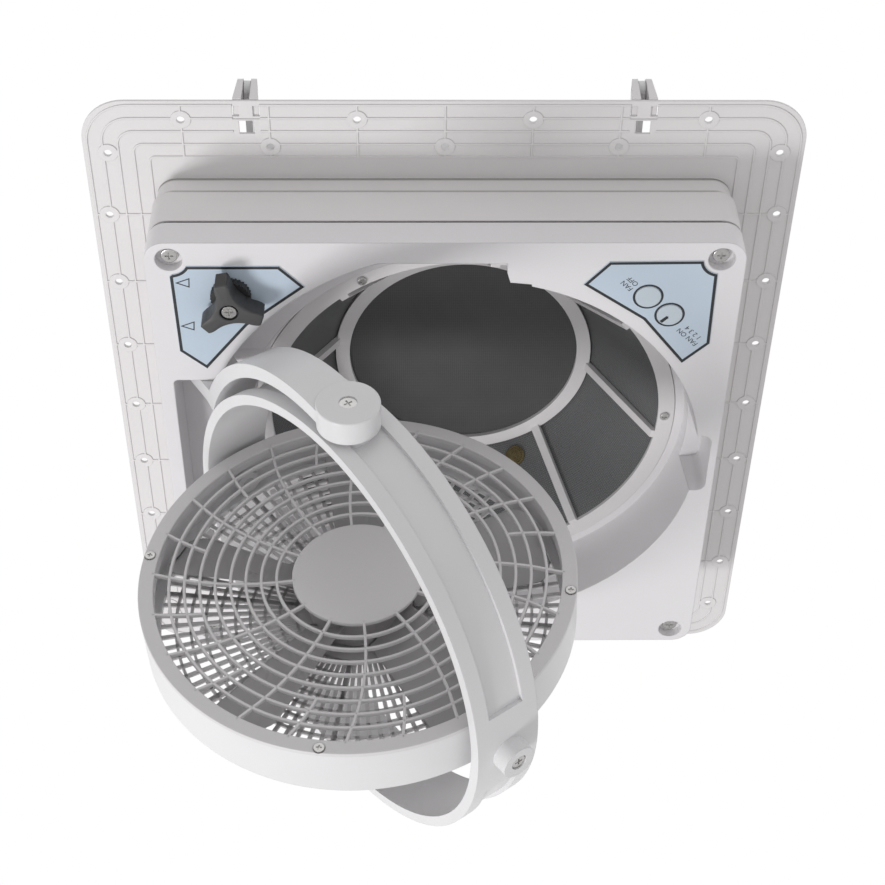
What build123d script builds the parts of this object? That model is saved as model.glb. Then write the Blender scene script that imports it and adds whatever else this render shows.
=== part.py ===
from build123d import *
import math
import os

# Roof vent for a caravan: a lid on a 350 mm duct, a screwed ceiling trim with a
# fly screen, and a fan in a hoop that hangs from a swinging arm.
# Millimetres. +Z is up as installed. The origin is the centre of the flange's
# screw pattern in the roof plane, where the flange ribs and bosses touch the roof.

# Flange and duct
flange_width = 428.8
flange_corner = 27
duct_size = 350
duct_wall = 3
duct_corner = 13
duct_offset = 9.35
plate_thick = 1.4
rib_height = 0.6
rib_width = 1.1
rib_first = 2.2
rib_pitch = 9
rib_count = 5
rib_corner_share = 0.62
collar_depth = 16
collar_inset = 1.5
duct_drop = 44.4
coaming_height = 20
screw_hole_r = 2.4
boss_r = 6
corner_hole_x = 200
corner_hole_in = 35.9
outer_row_in = 12.6
outer_row_near = 51.7
outer_row_far = 155
inner_row_in = 31.6
inner_row_x = 103.4
side_row_x = 204
side_pitch = 52
side_steps = 3

# Lid hinge on the flange
tab_x = 116.5
tab_base = 15
tab_top = 10.6
tab_depth = 13
hinge_out = 47
tab_edge = 5.55
lid_hinge_z = 21
tab_round = 6.5
leaf_width = 4
leaf_gap = 0.35
leaf_r = 5.5
hinge_pin_r = 2.5
running_gap = 0.05
tab_slot_x = 16
tab_slot_y = 7
tab_slot_back = 1.5
tab_hole = 9
tab_hole_back = 12.5

# Ceiling trim
panel_drop = 66
skin = 3
trim_gap = 1.9
duct_clear = 0.3
pocket_wall = 2.5
well_x = 15
well_mouth_r = 147.5
well_floor_r = 143.5
well_floor_drop = 22
ledge_step = 2
screen_seat_r = 137.7
screen_open_r = 127.5
channel_r = 169
channel_drop = 37
channel_edge = 70.3
channel_flat = 160
channel_end_x = 36
channel_step_x = 38
channel_step_y = 146
channel_low_y = 153
channel_in_x = 50.7
channel_in_y = 144.6
root_recess_x = 166
root_recess_y = 70
root_recess_drop = 35
lug_recess_x = 170.2
lug_recess_from = 22
lug_recess_to = 26
lug_recess_drop = 33
recess_round = 3
panel_screw_x = 160.5
panel_screw_y = 163
cup_r = 8
cup_depth = 6
cup_wall = 2.5
post_r = 6
post_web = 5
post_top_drop = 18
fix_hole_r = 2.3

# Screw heads and shanks
big_head_r = 5
big_head = 2.6
big_shank_r = 2.2
big_shank = 16
small_head_r = 3
small_head = 1.8
small_shank_r = 1.4
small_shank = 7
cross_width = 0.9
cross_depth = 0.9
head_round = 0.7

# Labels
label_thick = 0.6
label_reach = 175
label_left_shares = (
    (-0.8714, -0.9057),
    (-0.5537, -0.9057),
    (-0.4714, -0.8189),
    (-0.6737, -0.6514),
    (-0.8251, -0.4577),
    (-0.9137, -0.5377),
    (-0.9200, -0.8640),
)
label_right_shares = (
    (0.4623, -0.8280),
    (0.5446, -0.9234),
    (0.8737, -0.9269),
    (0.9091, -0.8789),
    (0.9143, -0.5680),
    (0.8257, -0.4794),
    (0.6754, -0.6754),
)

# Fly screen
screen_rim_r = 137.4
screen_rim_in_r = 126.8
screen_thick = 2.5
screen_screw_r = 131
screen_screw_count = 3
cone_rise = 62
cone_ring_r = 86.7
cone_ring_in_r = 77.3
cone_ring_deep = 3
spoke_width = 6
spoke_deep = 2.4
spoke_turn = 7.5
spoke_count = 8
mesh_thick = 0.8
mesh_gap = 0.05
terminal_r = 7
terminal_ridge_r = 5
terminal_stud_r = 2.2
terminal_back_r = 4.5
terminal_step = 1.1
terminal_turn = 66.2
terminal_rise = 50

# Arm hinge
hinge_x = -142.9
hinge_drop = 53.4
arm_swing = 57.5
arm_reach = 157.9
arm_back = 8.4
arm_outer_r = 156.5
arm_thick = 8.8
arm_near = 20.5
arm_far = 6.9
arm_end_y = 58.5
root_gap = 0.5
root_out = 9
root_round_r = 15.8
barrel_r = 7
barrel_clear = 0.6
barrel_end = 112.4
pad_forward = 3.6
pad_r = 17.7
pad_face = 158.5
pad_back = 143.5
pad_chamfer = 1
pad_screw_sink = 2
ear_near = 88
ear_far = 105
ear_thick = 7
ear_half_out = 12.1
ear_half_in = 8.9
ear_top = 12
bridge_thick = 2.5
foot_width = 9
foot_thick = 3
cap_r = 9
cap_gap = 0.4
cap_thick = 2.5

# Hoop
hoop_swing = 53.5
hoop_outer_r = 140.7
hoop_thick = 6.5
hoop_width = 42
channel_width = 23
channel_deep = 2.5
channel_turn = 13
swivel_boss_r = 14
swivel_boss_face = 142
swivel_pin_r = 4
washer_r = 12
washer_gap = 0.1
lug_r = 10.5
lug_in = 133.2
lug_out = 150.5
tilt_pin_r = 4
tilt_pin_in = 121
tilt_pin_out = 146
lug_sink_r = 5

# Fan
fan_tilt = 87
fan_r = 128.5
fan_front = 23
fan_back = 11
fan_wall = 2.6
guard_thick = 2.5
guard_rim_r = 119.6
guard_hub_r = 38.5
guard_rings = 8
guard_bar = 1.7
guard_spokes = 12
guard_short_from = 6
guard_screw_r = 125
guard_screw_count = 4
guard_screw_turn = 45
lip_deep = 5.5
fan_boss_r = 8
fan_boss_gap = 0.3
rear_rings = 5
rear_spokes = 8
rear_hub_r = 40
cover_r = 34
cover_wall = 2
cover_deep = 34
motor_r = 29
motor_deep = 30
shaft_r = 3
rotor_hub_r = 31
rotor_front = 14
rotor_back = 7
blade_count = 5
blade_tip_r = 116
blade_root_chord = 34
blade_tip_chord = 52
blade_thick = 2.2
blade_root_pitch = 34
blade_tip_pitch = 20
blade_mid = 4

# Lid and lift
seal_width = 5
seal_height = 5
lid_gap = 0.3
lid_overhang = 11
lid_corner = 24
lid_skirt = 20
lid_wall = 3
lid_land = 18
lid_top_size = 250
lid_top_corner = 60
lid_crown = 34
lid_opening = 45
lift_x = -126
lift_in = 36.5
cam_spare = 2
cam_gap = 0.05
fork_in = 7
fork_thick = 4
fork_plate = 3
fork_back = 59.5
fork_front = 91
fork_reach = 52.5
fork_foot = 6
spindle_r = 5
spindle_top = 21
collar_r = 7.5
collar_high = 1.2
nut_x = 44
nut_y = 20
nut_high = 11
rod_x = 17
rod_r = 3
rod_top = 24
base_thick = 2.7
base_gap = 0.05
nut_gap = 0.2

# Knob
knob_gap = 0.3
knob_boss_r = 12
knob_boss = 5
knob_high = 18
lobe_count = 3
lobe_turn = 19
lobe_r = 15.5
lobe_tip_r = 4.6
lobe_hub_r = 8.5
knob_sink_r = 5.5
knob_sink = 3
knob_round = 1.2

# Controls
button_x = 119.7
button_y = 135.9
dial_x = 133.6
dial_y = 122.1
button_r = 7.7
button_hole_r = 8
button_proud = 0.8
button_thick = 4.2
button_travel = 1
pointer_turn = 135
stem_r = 2.5
stem_long = 10
housing_long = 52
housing_wide = 24
housing_deep = 24
housing_wall = 2
board_thick = 1.6
board_gap = 0.5
body_r = 7.5
body_skip = 2
wave_r = 5
wave_gap = 0.3

overrun = 2

duct_y = -duct_offset
trim_top = duct_drop + trim_gap
skin_back = panel_drop - skin
plate_top = rib_height + plate_thick
well_y = duct_y


os.makedirs("parts", exist_ok=True)


def level(z, x=0, y=0):
    """Horizontal plane at height z, facing up."""
    return Plane(origin=(x, y, z))


def polar(radius, degrees):
    """Point at a radius and an angle."""
    turn = math.radians(degrees)
    return radius * math.cos(turn), radius * math.sin(turn)


# The duct sets the lid, its hinge and its lift, and the hinge sets the flange's length
lid_size = duct_size + lid_overhang * 2
lift_y = duct_size / 2 - lift_in
lid_hinge_gap = duct_offset + duct_size / 2 + hinge_out
tab_slot_at = lid_hinge_gap - tab_slot_back
tab_hole_at = lid_hinge_gap - tab_hole_back
flange_length = lid_hinge_gap * 2 + tab_edge * 2
corner_hole_y = flange_length / 2 - corner_hole_in
outer_row_y = flange_length / 2 - outer_row_in
inner_row_y = flange_length / 2 - inner_row_in

# Screw places of the flange, two by two about the middle of the pattern
hole_places = []
row_places = [0]
for side_x in (-1, 1):
    row_places.append(side_x * outer_row_near)
    row_places.append(side_x * inner_row_x)
    row_places.append(side_x * outer_row_far)
    for side_y in (-1, 1):
        hole_places.append((side_x * corner_hole_x, side_y * corner_hole_y))
        hole_places.append((side_x * outer_row_near, side_y * outer_row_y))
        hole_places.append((side_x * outer_row_far, side_y * outer_row_y))
        hole_places.append((side_x * inner_row_x, side_y * inner_row_y))
    for step in range(-side_steps, side_steps + 1):
        hole_places.append((side_x * side_row_x, step * side_pitch))
hole_places.append((0, -inner_row_y))
hole_places.append((0, inner_row_y))

post_places = []
for side_x in (-1, 1):
    for side_y in (-1, 1):
        post_places.append((side_x * panel_screw_x, duct_y + side_y * panel_screw_y))

tie_long = rib_pitch * (rib_count - 1) + rib_width
# Flange plate, ribs with cross ties, round bosses, duct walls, coaming, screw posts and hinge tabs
cup_top = panel_drop - cup_depth - cup_wall
lid_hinge_y = -lid_hinge_gap
leaf_slot = leaf_width + leaf_gap + leaf_gap
with BuildPart() as outer_flange:
    with BuildSketch(level(rib_height)):
        RectangleRounded(flange_width, flange_length, flange_corner)
    extrude(amount=plate_thick)
    with BuildSketch(level(0)):
        for ring in range(rib_count):
            rib_edge = rib_first + ring * rib_pitch
            outer_x = flange_width - rib_edge - rib_edge
            outer_y = flange_length - rib_edge - rib_edge
            rib_corner = flange_corner * rib_corner_share**ring
            RectangleRounded(outer_x, outer_y, rib_corner)
            inner_x = outer_x - rib_width - rib_width
            inner_y = outer_y - rib_width - rib_width
            RectangleRounded(inner_x, inner_y, rib_corner - rib_width, mode=Mode.SUBTRACT)
        tie_x = flange_width / 2 - rib_first - tie_long / 2
        tie_y = flange_length / 2 - rib_first - tie_long / 2
        for side in (-1, 1):
            for across in row_places:
                with Locations((across, side * tie_y)):
                    Rectangle(rib_width, tie_long)
            for step in range(-side_steps, side_steps + 1):
                with Locations((side * tie_x, step * side_pitch)):
                    Rectangle(tie_long, rib_width)
        with Locations(*hole_places):
            Circle(boss_r, mode=Mode.SUBTRACT)
        for side_x in (-1, 1):
            with Locations((side_x * tab_x, -tab_slot_at), (side_x * tab_x, -tab_hole_at)):
                Rectangle(tab_slot_x, tab_hole + rib_width, mode=Mode.SUBTRACT)
    extrude(amount=rib_height)
    with BuildSketch(level(0)):
        with Locations(*hole_places):
            Circle(boss_r)
    extrude(amount=rib_height)
    with BuildSketch(level(-collar_depth, y=duct_y)):
        collar_size = duct_size - collar_inset - collar_inset
        RectangleRounded(collar_size, collar_size, duct_corner)
    extrude(amount=collar_depth + coaming_height)
    with BuildSketch(level(-duct_drop, y=duct_y)):
        RectangleRounded(duct_size, duct_size, duct_corner)
    extrude(amount=duct_drop - collar_depth)
    with BuildSketch(level(-duct_drop, y=duct_y)):
        duct_inner = duct_size - duct_wall * 2
        RectangleRounded(duct_inner, duct_inner, duct_corner - duct_wall)
    extrude(amount=duct_drop + coaming_height, mode=Mode.SUBTRACT)
    for side_x in (-1, 1):
        for side_y in (-1, 1):
            web_x = side_x * (duct_size / 2 - duct_wall - post_web)
            with BuildSketch(level(-post_top_drop, y=duct_y + side_y * panel_screw_y)):
                with Locations((side_x * panel_screw_x, 0)):
                    Circle(post_r)
                with Locations((web_x, 0)):
                    Rectangle(post_web * 2 + duct_wall, post_web)
            extrude(amount=post_top_drop - duct_drop)
            with BuildSketch(level(-duct_drop, y=duct_y + side_y * panel_screw_y)):
                with Locations((side_x * panel_screw_x, 0)):
                    Circle(post_r)
            extrude(amount=duct_drop - cup_top)
    with BuildSketch(level(-cup_top)):
        with Locations(*post_places):
            Circle(big_shank_r)
    extrude(amount=big_shank, mode=Mode.SUBTRACT)
    for side_x in (-1, 1):
        tab_plane = Plane(
            origin=(side_x * tab_x, lid_hinge_y, plate_top),
            x_dir=(1, 0, 0),
            z_dir=(0, -1, 0),
        )
        with BuildSketch(tab_plane):
            tab_high = lid_hinge_z + tab_round - plate_top
            with BuildLine():
                Polyline(
                    (-tab_base / 2, 0),
                    (tab_base / 2, 0),
                    (tab_top / 2, tab_high),
                    (-tab_top / 2, tab_high),
                    close=True,
                )
            make_face()
        extrude(amount=tab_depth / 2, both=True)
    tab_tops = outer_flange.edges().filter_by(Axis.X).filter_by_position(
        Axis.Z, lid_hinge_z + tab_round - running_gap, lid_hinge_z + tab_round + running_gap
    )
    fillet(tab_tops, tab_round - running_gap)
    for side_x in (-1, 1):
        with BuildSketch(level(plate_top, x=side_x * tab_x, y=lid_hinge_y)):
            Rectangle(leaf_slot, tab_depth + overrun)
        extrude(amount=lid_hinge_z + tab_round, mode=Mode.SUBTRACT)
        with BuildSketch(Plane(origin=(side_x * tab_x, lid_hinge_y, lid_hinge_z), z_dir=(1, 0, 0))):
            Circle(hinge_pin_r + running_gap)
        extrude(amount=tab_base, both=True, mode=Mode.SUBTRACT)
        with BuildSketch(level(0)):
            with Locations((side_x * tab_x, -tab_hole_at)):
                Rectangle(tab_hole, tab_hole)
            with Locations((side_x * tab_x, -tab_slot_at)):
                Rectangle(tab_slot_x, tab_slot_y)
            with Locations((side_x * tab_x, -tab_slot_at)):
                Rectangle(tab_slot_x / 2, tab_slot_y, mode=Mode.SUBTRACT)
        extrude(amount=plate_top, mode=Mode.SUBTRACT)
    with BuildSketch(level(0)):
        with Locations(*hole_places):
            Circle(screw_hole_r)
    extrude(amount=plate_top, mode=Mode.SUBTRACT)
outer_flange.part.label = "outer_flange"
export_step(outer_flange.part, "parts/outer_flange.step")

# Rubber seal on the coaming's rim
with BuildPart() as lid_seal:
    with BuildSketch(level(coaming_height, y=duct_y)):
        seal_out = collar_size + (seal_width - duct_wall + collar_inset)
        RectangleRounded(seal_out, seal_out, duct_corner)
        seal_in = seal_out - seal_width * 2
        RectangleRounded(seal_in, seal_in, duct_corner - seal_width, mode=Mode.SUBTRACT)
    extrude(amount=seal_height)
lid_seal.part.label = "lid_seal"
export_step(lid_seal.part, "parts/lid_seal.step")

# Ceiling trim: skin, rim, fan well, arm channel, recesses and screw cups
arm_channel_points = (
    (0, -channel_edge),
    (-channel_r - well_x, -channel_edge),
    (-channel_r - well_x, -channel_flat),
    (channel_end_x - well_x, -channel_flat),
    (channel_end_x - well_x, -channel_low_y),
    (channel_step_x - well_x, -channel_step_y),
    (channel_in_x - well_x, -channel_in_y),
    (channel_in_x - well_x, -channel_edge),
)
root_length = root_recess_y + channel_edge
root_mid = (root_recess_y - channel_edge) / 2
lug_length = lug_recess_to + lug_recess_from
lug_mid = (lug_recess_to - lug_recess_from) / 2
with BuildSketch(level(-panel_drop, x=well_x, y=well_y)) as channel_mouth:
    Circle(channel_r)
    Polygon(*arm_channel_points, align=None, mode=Mode.INTERSECT)
with BuildSketch(level(-panel_drop, x=-root_recess_x / 2, y=well_y + root_mid)) as root_mouth:
    RectangleRounded(root_recess_x, root_length, recess_round)
with BuildSketch(level(-panel_drop, x=lug_recess_x / 2, y=well_y + lug_mid)) as lug_mouth:
    RectangleRounded(lug_recess_x, lug_length, recess_round * 2)
with BuildPart() as inner_trim:
    with BuildSketch(level(-panel_drop, y=duct_y)):
        RectangleRounded(duct_size, duct_size, duct_corner)
    extrude(amount=panel_drop - trim_top)
    with BuildSketch(level(-skin_back, y=duct_y)):
        trim_inner = duct_size - duct_wall * 2
        RectangleRounded(trim_inner, trim_inner, duct_corner - duct_wall)
    extrude(amount=skin_back - trim_top, mode=Mode.SUBTRACT)
    with BuildSketch(level(-panel_drop)):
        add(channel_mouth.sketch)
        offset(amount=pocket_wall, kind=Kind.INTERSECTION)
    extrude(amount=panel_drop - channel_drop + pocket_wall)
    with BuildSketch(level(-panel_drop)):
        add(root_mouth.sketch)
        offset(amount=pocket_wall)
    extrude(amount=panel_drop - root_recess_drop + pocket_wall)
    with BuildSketch(level(-panel_drop)):
        add(lug_mouth.sketch)
        offset(amount=pocket_wall)
    extrude(amount=panel_drop - lug_recess_drop + pocket_wall)
    with BuildSketch(level(-panel_drop, x=well_x, y=well_y)):
        Circle(well_mouth_r + pocket_wall)
    with BuildSketch(level(-well_floor_drop, x=well_x, y=well_y)):
        Circle(well_floor_r + pocket_wall)
    loft()
    with BuildSketch(level(-well_floor_drop, x=well_x, y=well_y)):
        Circle(well_floor_r + pocket_wall)
    extrude(amount=ledge_step + screen_thick)
    extrude(channel_mouth.sketch, amount=panel_drop - channel_drop, mode=Mode.SUBTRACT)
    extrude(root_mouth.sketch, amount=panel_drop - root_recess_drop, mode=Mode.SUBTRACT)
    extrude(lug_mouth.sketch, amount=panel_drop - lug_recess_drop, mode=Mode.SUBTRACT)
    with BuildSketch(level(-panel_drop, x=well_x, y=well_y)):
        Circle(well_mouth_r)
    with BuildSketch(level(-well_floor_drop, x=well_x, y=well_y)):
        Circle(well_floor_r)
    loft(mode=Mode.SUBTRACT)
    with BuildSketch(level(-well_floor_drop, x=well_x, y=well_y)):
        Circle(screen_seat_r)
    extrude(amount=ledge_step, mode=Mode.SUBTRACT)
    with BuildSketch(level(-well_floor_drop, x=well_x, y=well_y)):
        Circle(screen_open_r)
    extrude(amount=ledge_step + screen_thick, mode=Mode.SUBTRACT)
    with BuildSketch(level(-well_floor_drop + ledge_step + screen_thick, x=well_x, y=well_y)):
        with PolarLocations(screen_screw_r, screen_screw_count):
            Circle(small_head_r)
    extrude(amount=small_shank)
    with BuildSketch(level(-well_floor_drop + ledge_step, x=well_x, y=well_y)):
        with PolarLocations(screen_screw_r, screen_screw_count):
            Circle(small_shank_r)
    extrude(amount=small_shank, mode=Mode.SUBTRACT)
    with BuildSketch(level(-skin_back)):
        with Locations(*post_places):
            Circle(cup_r + cup_wall)
    extrude(amount=skin_back - cup_top)
    with BuildSketch(level(-panel_drop, y=duct_y)):
        RectangleRounded(duct_size + overrun, duct_size + overrun, duct_corner)
        RectangleRounded(duct_size, duct_size, duct_corner, mode=Mode.SUBTRACT)
    extrude(amount=panel_drop, mode=Mode.SUBTRACT)
    with BuildSketch(level(-trim_top, y=duct_y)):
        RectangleRounded(duct_size + overrun, duct_size + overrun, duct_corner)
        inside = trim_inner - duct_clear * 2
        RectangleRounded(inside, inside, duct_corner - duct_wall, mode=Mode.SUBTRACT)
    extrude(amount=trim_top, mode=Mode.SUBTRACT)
    with BuildSketch(level(-panel_drop)):
        with Locations(*post_places):
            Circle(cup_r)
    extrude(amount=cup_depth, mode=Mode.SUBTRACT)
    with BuildSketch(level(-panel_drop)):
        with Locations(*post_places):
            Circle(fix_hole_r)
    extrude(amount=cup_depth + cup_wall, mode=Mode.SUBTRACT)
    with BuildSketch(level(-panel_drop, x=lift_x, y=duct_y - lift_y)):
        Circle(spindle_r + barrel_clear)
    extrude(amount=skin, mode=Mode.SUBTRACT)
    with BuildSketch(level(-panel_drop, y=duct_y)):
        with Locations((button_x, -button_y), (dial_x, -dial_y)):
            Circle(button_hole_r)
    extrude(amount=skin, mode=Mode.SUBTRACT)
    barrel_place = (hinge_x, duct_y - channel_edge + root_gap, -hinge_drop)
    with BuildSketch(Plane(origin=barrel_place, z_dir=(0, -1, 0))):
        Circle(barrel_r + barrel_clear)
    extrude(amount=barrel_end - channel_edge + overrun, mode=Mode.SUBTRACT)
    for foot_y in (ear_near, ear_far):
        foot_x = hinge_x - ear_half_out - foot_width / 2
        with BuildSketch(level(-skin_back, x=foot_x, y=duct_y - foot_y - ear_thick / 2)):
            Circle(small_shank_r)
        extrude(amount=-skin / 2, mode=Mode.SUBTRACT)
inner_trim.part.label = "inner_trim"
export_step(inner_trim.part, "parts/inner_trim.step")

# Four trim screws in their cups
with BuildPart() as panel_screws:
    with BuildSketch(level(-panel_drop + cup_depth)):
        with Locations(*post_places):
            Circle(big_head_r)
    extrude(amount=-big_head)
    fillet(panel_screws.faces().sort_by(Axis.Z)[:4].edges(), head_round)
    with BuildSketch(level(-panel_drop + cup_depth)):
        with Locations(*post_places):
            Circle(big_shank_r)
    extrude(amount=big_shank)
    with BuildSketch(level(-panel_drop + cup_depth - big_head)):
        with Locations(*post_places):
            Rectangle(big_head_r, cross_width)
            Rectangle(cross_width, big_head_r)
    extrude(amount=cross_depth, mode=Mode.SUBTRACT)
panel_screws.part.label = "panel_screws"
export_step(panel_screws.part, "parts/panel_screws.step")

# Label plates, stuck on the trim's face round the knob and the two controls
with BuildPart() as label_left:
    with BuildSketch(level(-panel_drop, y=duct_y)):
        left_points = [(label_reach * x, label_reach * y) for x, y in label_left_shares]
        with BuildLine():
            Line(left_points[0], left_points[1])
            Line(left_points[1], left_points[2])
            ThreePointArc(left_points[2], left_points[3], left_points[4])
            Line(left_points[4], left_points[5])
            Line(left_points[5], left_points[6])
            Line(left_points[6], left_points[0])
        make_face()
        with Locations((-panel_screw_x, -panel_screw_y)):
            Circle(cup_r + cup_wall, mode=Mode.SUBTRACT)
        with Locations((lift_x, -lift_y)):
            Circle(spindle_r + barrel_clear, mode=Mode.SUBTRACT)
    extrude(amount=-label_thick)
label_left.part.label = "label_left"
export_step(label_left.part, "parts/label_left.step")

with BuildPart() as label_right:
    with BuildSketch(level(-panel_drop, y=duct_y)):
        right_points = [(label_reach * x, label_reach * y) for x, y in label_right_shares]
        with BuildLine():
            Line(right_points[0], right_points[1])
            Line(right_points[1], right_points[2])
            Line(right_points[2], right_points[3])
            Line(right_points[3], right_points[4])
            Line(right_points[4], right_points[5])
            ThreePointArc(right_points[5], right_points[6], right_points[0])
        make_face()
        with Locations((panel_screw_x, -panel_screw_y)):
            Circle(cup_r + cup_wall, mode=Mode.SUBTRACT)
        with Locations((button_x, -button_y), (dial_x, -dial_y)):
            Circle(button_hole_r, mode=Mode.SUBTRACT)
    extrude(amount=-label_thick)
label_right.part.label = "label_right"
export_step(label_right.part, "parts/label_right.step")

# Fly screen frame: rim, rising spokes and the high centre ring
screen_seat = well_floor_drop - ledge_step
cone_foot_z = -screen_seat - screen_thick
cone_top_z = cone_foot_z + cone_rise
spoke_slope = math.atan2(cone_rise, screen_rim_in_r - cone_ring_r)
with BuildPart() as flyscreen_frame:
    with BuildSketch(level(cone_foot_z, x=well_x, y=well_y)):
        Circle(screen_rim_r)
        Circle(screen_rim_in_r, mode=Mode.SUBTRACT)
        with PolarLocations(screen_screw_r, screen_screw_count):
            Circle(small_shank_r + running_gap * 2, mode=Mode.SUBTRACT)
    extrude(amount=screen_thick)
    with BuildSketch(level(cone_top_z, x=well_x, y=well_y)):
        Circle(cone_ring_r)
        Circle(cone_ring_in_r, mode=Mode.SUBTRACT)
    extrude(amount=cone_ring_deep)
    for spoke in range(spoke_count):
        turn = spoke_turn + spoke * 360 / spoke_count
        foot_x, foot_y = polar(1, turn)
        spoke_plane = Plane(
            origin=(well_x, well_y, 0),
            x_dir=(foot_x, foot_y, 0),
            z_dir=(foot_y, -foot_x, 0),
        )
        with BuildSketch(spoke_plane):
            with BuildLine():
                Polyline(
                    (screen_rim_in_r + cone_ring_deep, cone_foot_z),
                    (screen_rim_in_r + cone_ring_deep, cone_foot_z + screen_thick),
                    (screen_rim_in_r, cone_foot_z + screen_thick),
                    (cone_ring_r, cone_top_z + cone_ring_deep),
                    (cone_ring_r - cone_ring_deep, cone_top_z + cone_ring_deep),
                    (cone_ring_r - cone_ring_deep, cone_top_z),
                    (cone_ring_r - spoke_deep, cone_top_z),
                    (screen_rim_in_r - spoke_deep, cone_foot_z),
                    close=True,
                )
            make_face()
        extrude(amount=spoke_width / 2, both=True)
flyscreen_frame.part.label = "flyscreen_frame"
export_step(flyscreen_frame.part, "parts/flyscreen_frame.step")

# Fly mesh: a cone laid over the spokes, and a disc over the centre ring. The cone has
# a hole for the brass terminal
mesh_top_z = cone_top_z + cone_ring_deep
mesh_foot_z = cone_foot_z + screen_thick
mesh_lean = math.atan2(screen_rim_in_r - cone_ring_r, mesh_top_z - mesh_foot_z)
terminal_at_r = screen_rim_in_r + mesh_gap - terminal_rise * math.tan(mesh_lean)
terminal_x, terminal_y = polar(terminal_at_r, terminal_turn)
inward_x, inward_y = polar(-math.cos(mesh_lean), terminal_turn)
terminal_plane = Plane(
    origin=(well_x + terminal_x, well_y + terminal_y, mesh_foot_z + terminal_rise),
    x_dir=(-inward_y, inward_x, 0),
    z_dir=(inward_x, inward_y, -math.sin(mesh_lean)),
)
with BuildPart() as flyscreen_mesh_side:
    with BuildSketch(Plane(origin=(well_x, well_y, 0), x_dir=(1, 0, 0), z_dir=(0, -1, 0))):
        with BuildLine():
            Polyline(
                (screen_rim_in_r + mesh_gap, cone_foot_z + screen_thick),
                (screen_rim_in_r + mesh_thick / 2, cone_foot_z + screen_thick),
                (cone_ring_r + mesh_thick / 2, mesh_top_z),
                (cone_ring_r + mesh_gap, mesh_top_z),
                close=True,
            )
        make_face()
    revolve(axis=Axis((well_x, well_y, 0), (0, 0, 1)))
    with BuildSketch(terminal_plane):
        Circle(terminal_stud_r + running_gap)
    extrude(amount=terminal_r, both=True, mode=Mode.SUBTRACT)
flyscreen_mesh_side.part.label = "flyscreen_mesh_side"
export_step(flyscreen_mesh_side.part, "parts/flyscreen_mesh_side.step")

with BuildPart() as flyscreen_mesh_centre:
    with BuildSketch(level(mesh_top_z, x=well_x, y=well_y)):
        Circle(cone_ring_r)
    extrude(amount=mesh_thick)
flyscreen_mesh_centre.part.label = "flyscreen_mesh_centre"
export_step(flyscreen_mesh_centre.part, "parts/flyscreen_mesh_centre.step")

with BuildPart() as flyscreen_screws:
    with BuildSketch(level(cone_foot_z, x=well_x, y=well_y)):
        with PolarLocations(screen_screw_r, screen_screw_count):
            Circle(small_head_r)
    extrude(amount=-small_head)
    fillet(flyscreen_screws.faces().sort_by(Axis.Z)[:3].edges(), head_round)
    with BuildSketch(level(cone_foot_z, x=well_x, y=well_y)):
        with PolarLocations(screen_screw_r, screen_screw_count):
            Circle(small_shank_r)
    extrude(amount=small_shank)
    with BuildSketch(level(cone_foot_z - small_head, x=well_x, y=well_y)):
        with PolarLocations(screen_screw_r, screen_screw_count):
            Rectangle(small_head_r, cross_width)
            Rectangle(cross_width, small_head_r)
    extrude(amount=cross_depth, mode=Mode.SUBTRACT)
flyscreen_screws.part.label = "flyscreen_screws"
export_step(flyscreen_screws.part, "parts/flyscreen_screws.step")

# Bearing bracket of the arm's hinge, behind the trim's skin
barrel_y = duct_y - channel_edge + root_gap
bracket_length = ear_far + ear_thick - ear_near
with BuildPart() as arm_bracket:
    for ear_y in (ear_near, ear_far):
        ear_plane = Plane(
            origin=(hinge_x, duct_y - ear_y, -hinge_drop),
            x_dir=(1, 0, 0),
            z_dir=(0, -1, 0),
        )
        with BuildSketch(ear_plane):
            with BuildLine():
                Polyline(
                    (-ear_half_out, hinge_drop - skin_back),
                    (ear_half_in, hinge_drop - skin_back),
                    (ear_half_in, ear_top),
                    (-ear_half_out, ear_top),
                    close=True,
                )
            make_face()
        extrude(amount=ear_thick)
        with BuildSketch(level(-skin_back, x=hinge_x - ear_half_out, y=duct_y - ear_y - ear_thick / 2)):
            with Locations((-foot_width / 2, 0)):
                Rectangle(foot_width, ear_thick)
                Circle(small_shank_r, mode=Mode.SUBTRACT)
        extrude(amount=foot_thick)
    with BuildSketch(level(-hinge_drop + ear_top, x=hinge_x, y=duct_y - ear_near)):
        bridge_x = ear_half_out + ear_half_in
        with Locations(((ear_half_in - ear_half_out) / 2, -bracket_length / 2)):
            Rectangle(bridge_x, bracket_length)
    extrude(amount=bridge_thick)
    with BuildSketch(Plane(origin=(hinge_x, barrel_y, -hinge_drop), z_dir=(0, -1, 0))):
        Circle(barrel_r + running_gap)
    extrude(amount=barrel_end, mode=Mode.SUBTRACT)
arm_bracket.part.label = "arm_bracket"
export_step(arm_bracket.part, "parts/arm_bracket.step")

foot_places = []
for foot_y in (ear_near, ear_far):
    foot_places.append((hinge_x - ear_half_out - foot_width / 2, duct_y - foot_y - ear_thick / 2))
with BuildPart() as bracket_screws:
    with BuildSketch(level(-skin_back + foot_thick)):
        with Locations(*foot_places):
            Circle(small_head_r)
    extrude(amount=small_head)
    with BuildSketch(level(-skin_back - skin / 2)):
        with Locations(*foot_places):
            Circle(small_shank_r)
    extrude(amount=foot_thick + skin / 2)
    with BuildSketch(level(-skin_back + foot_thick + small_head)):
        with Locations(*foot_places):
            Rectangle(small_head_r, cross_width)
            Rectangle(cross_width, small_head_r)
    extrude(amount=-cross_depth, mode=Mode.SUBTRACT)
bracket_screws.part.label = "bracket_screws"
export_step(bracket_screws.part, "parts/bracket_screws.step")

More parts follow.
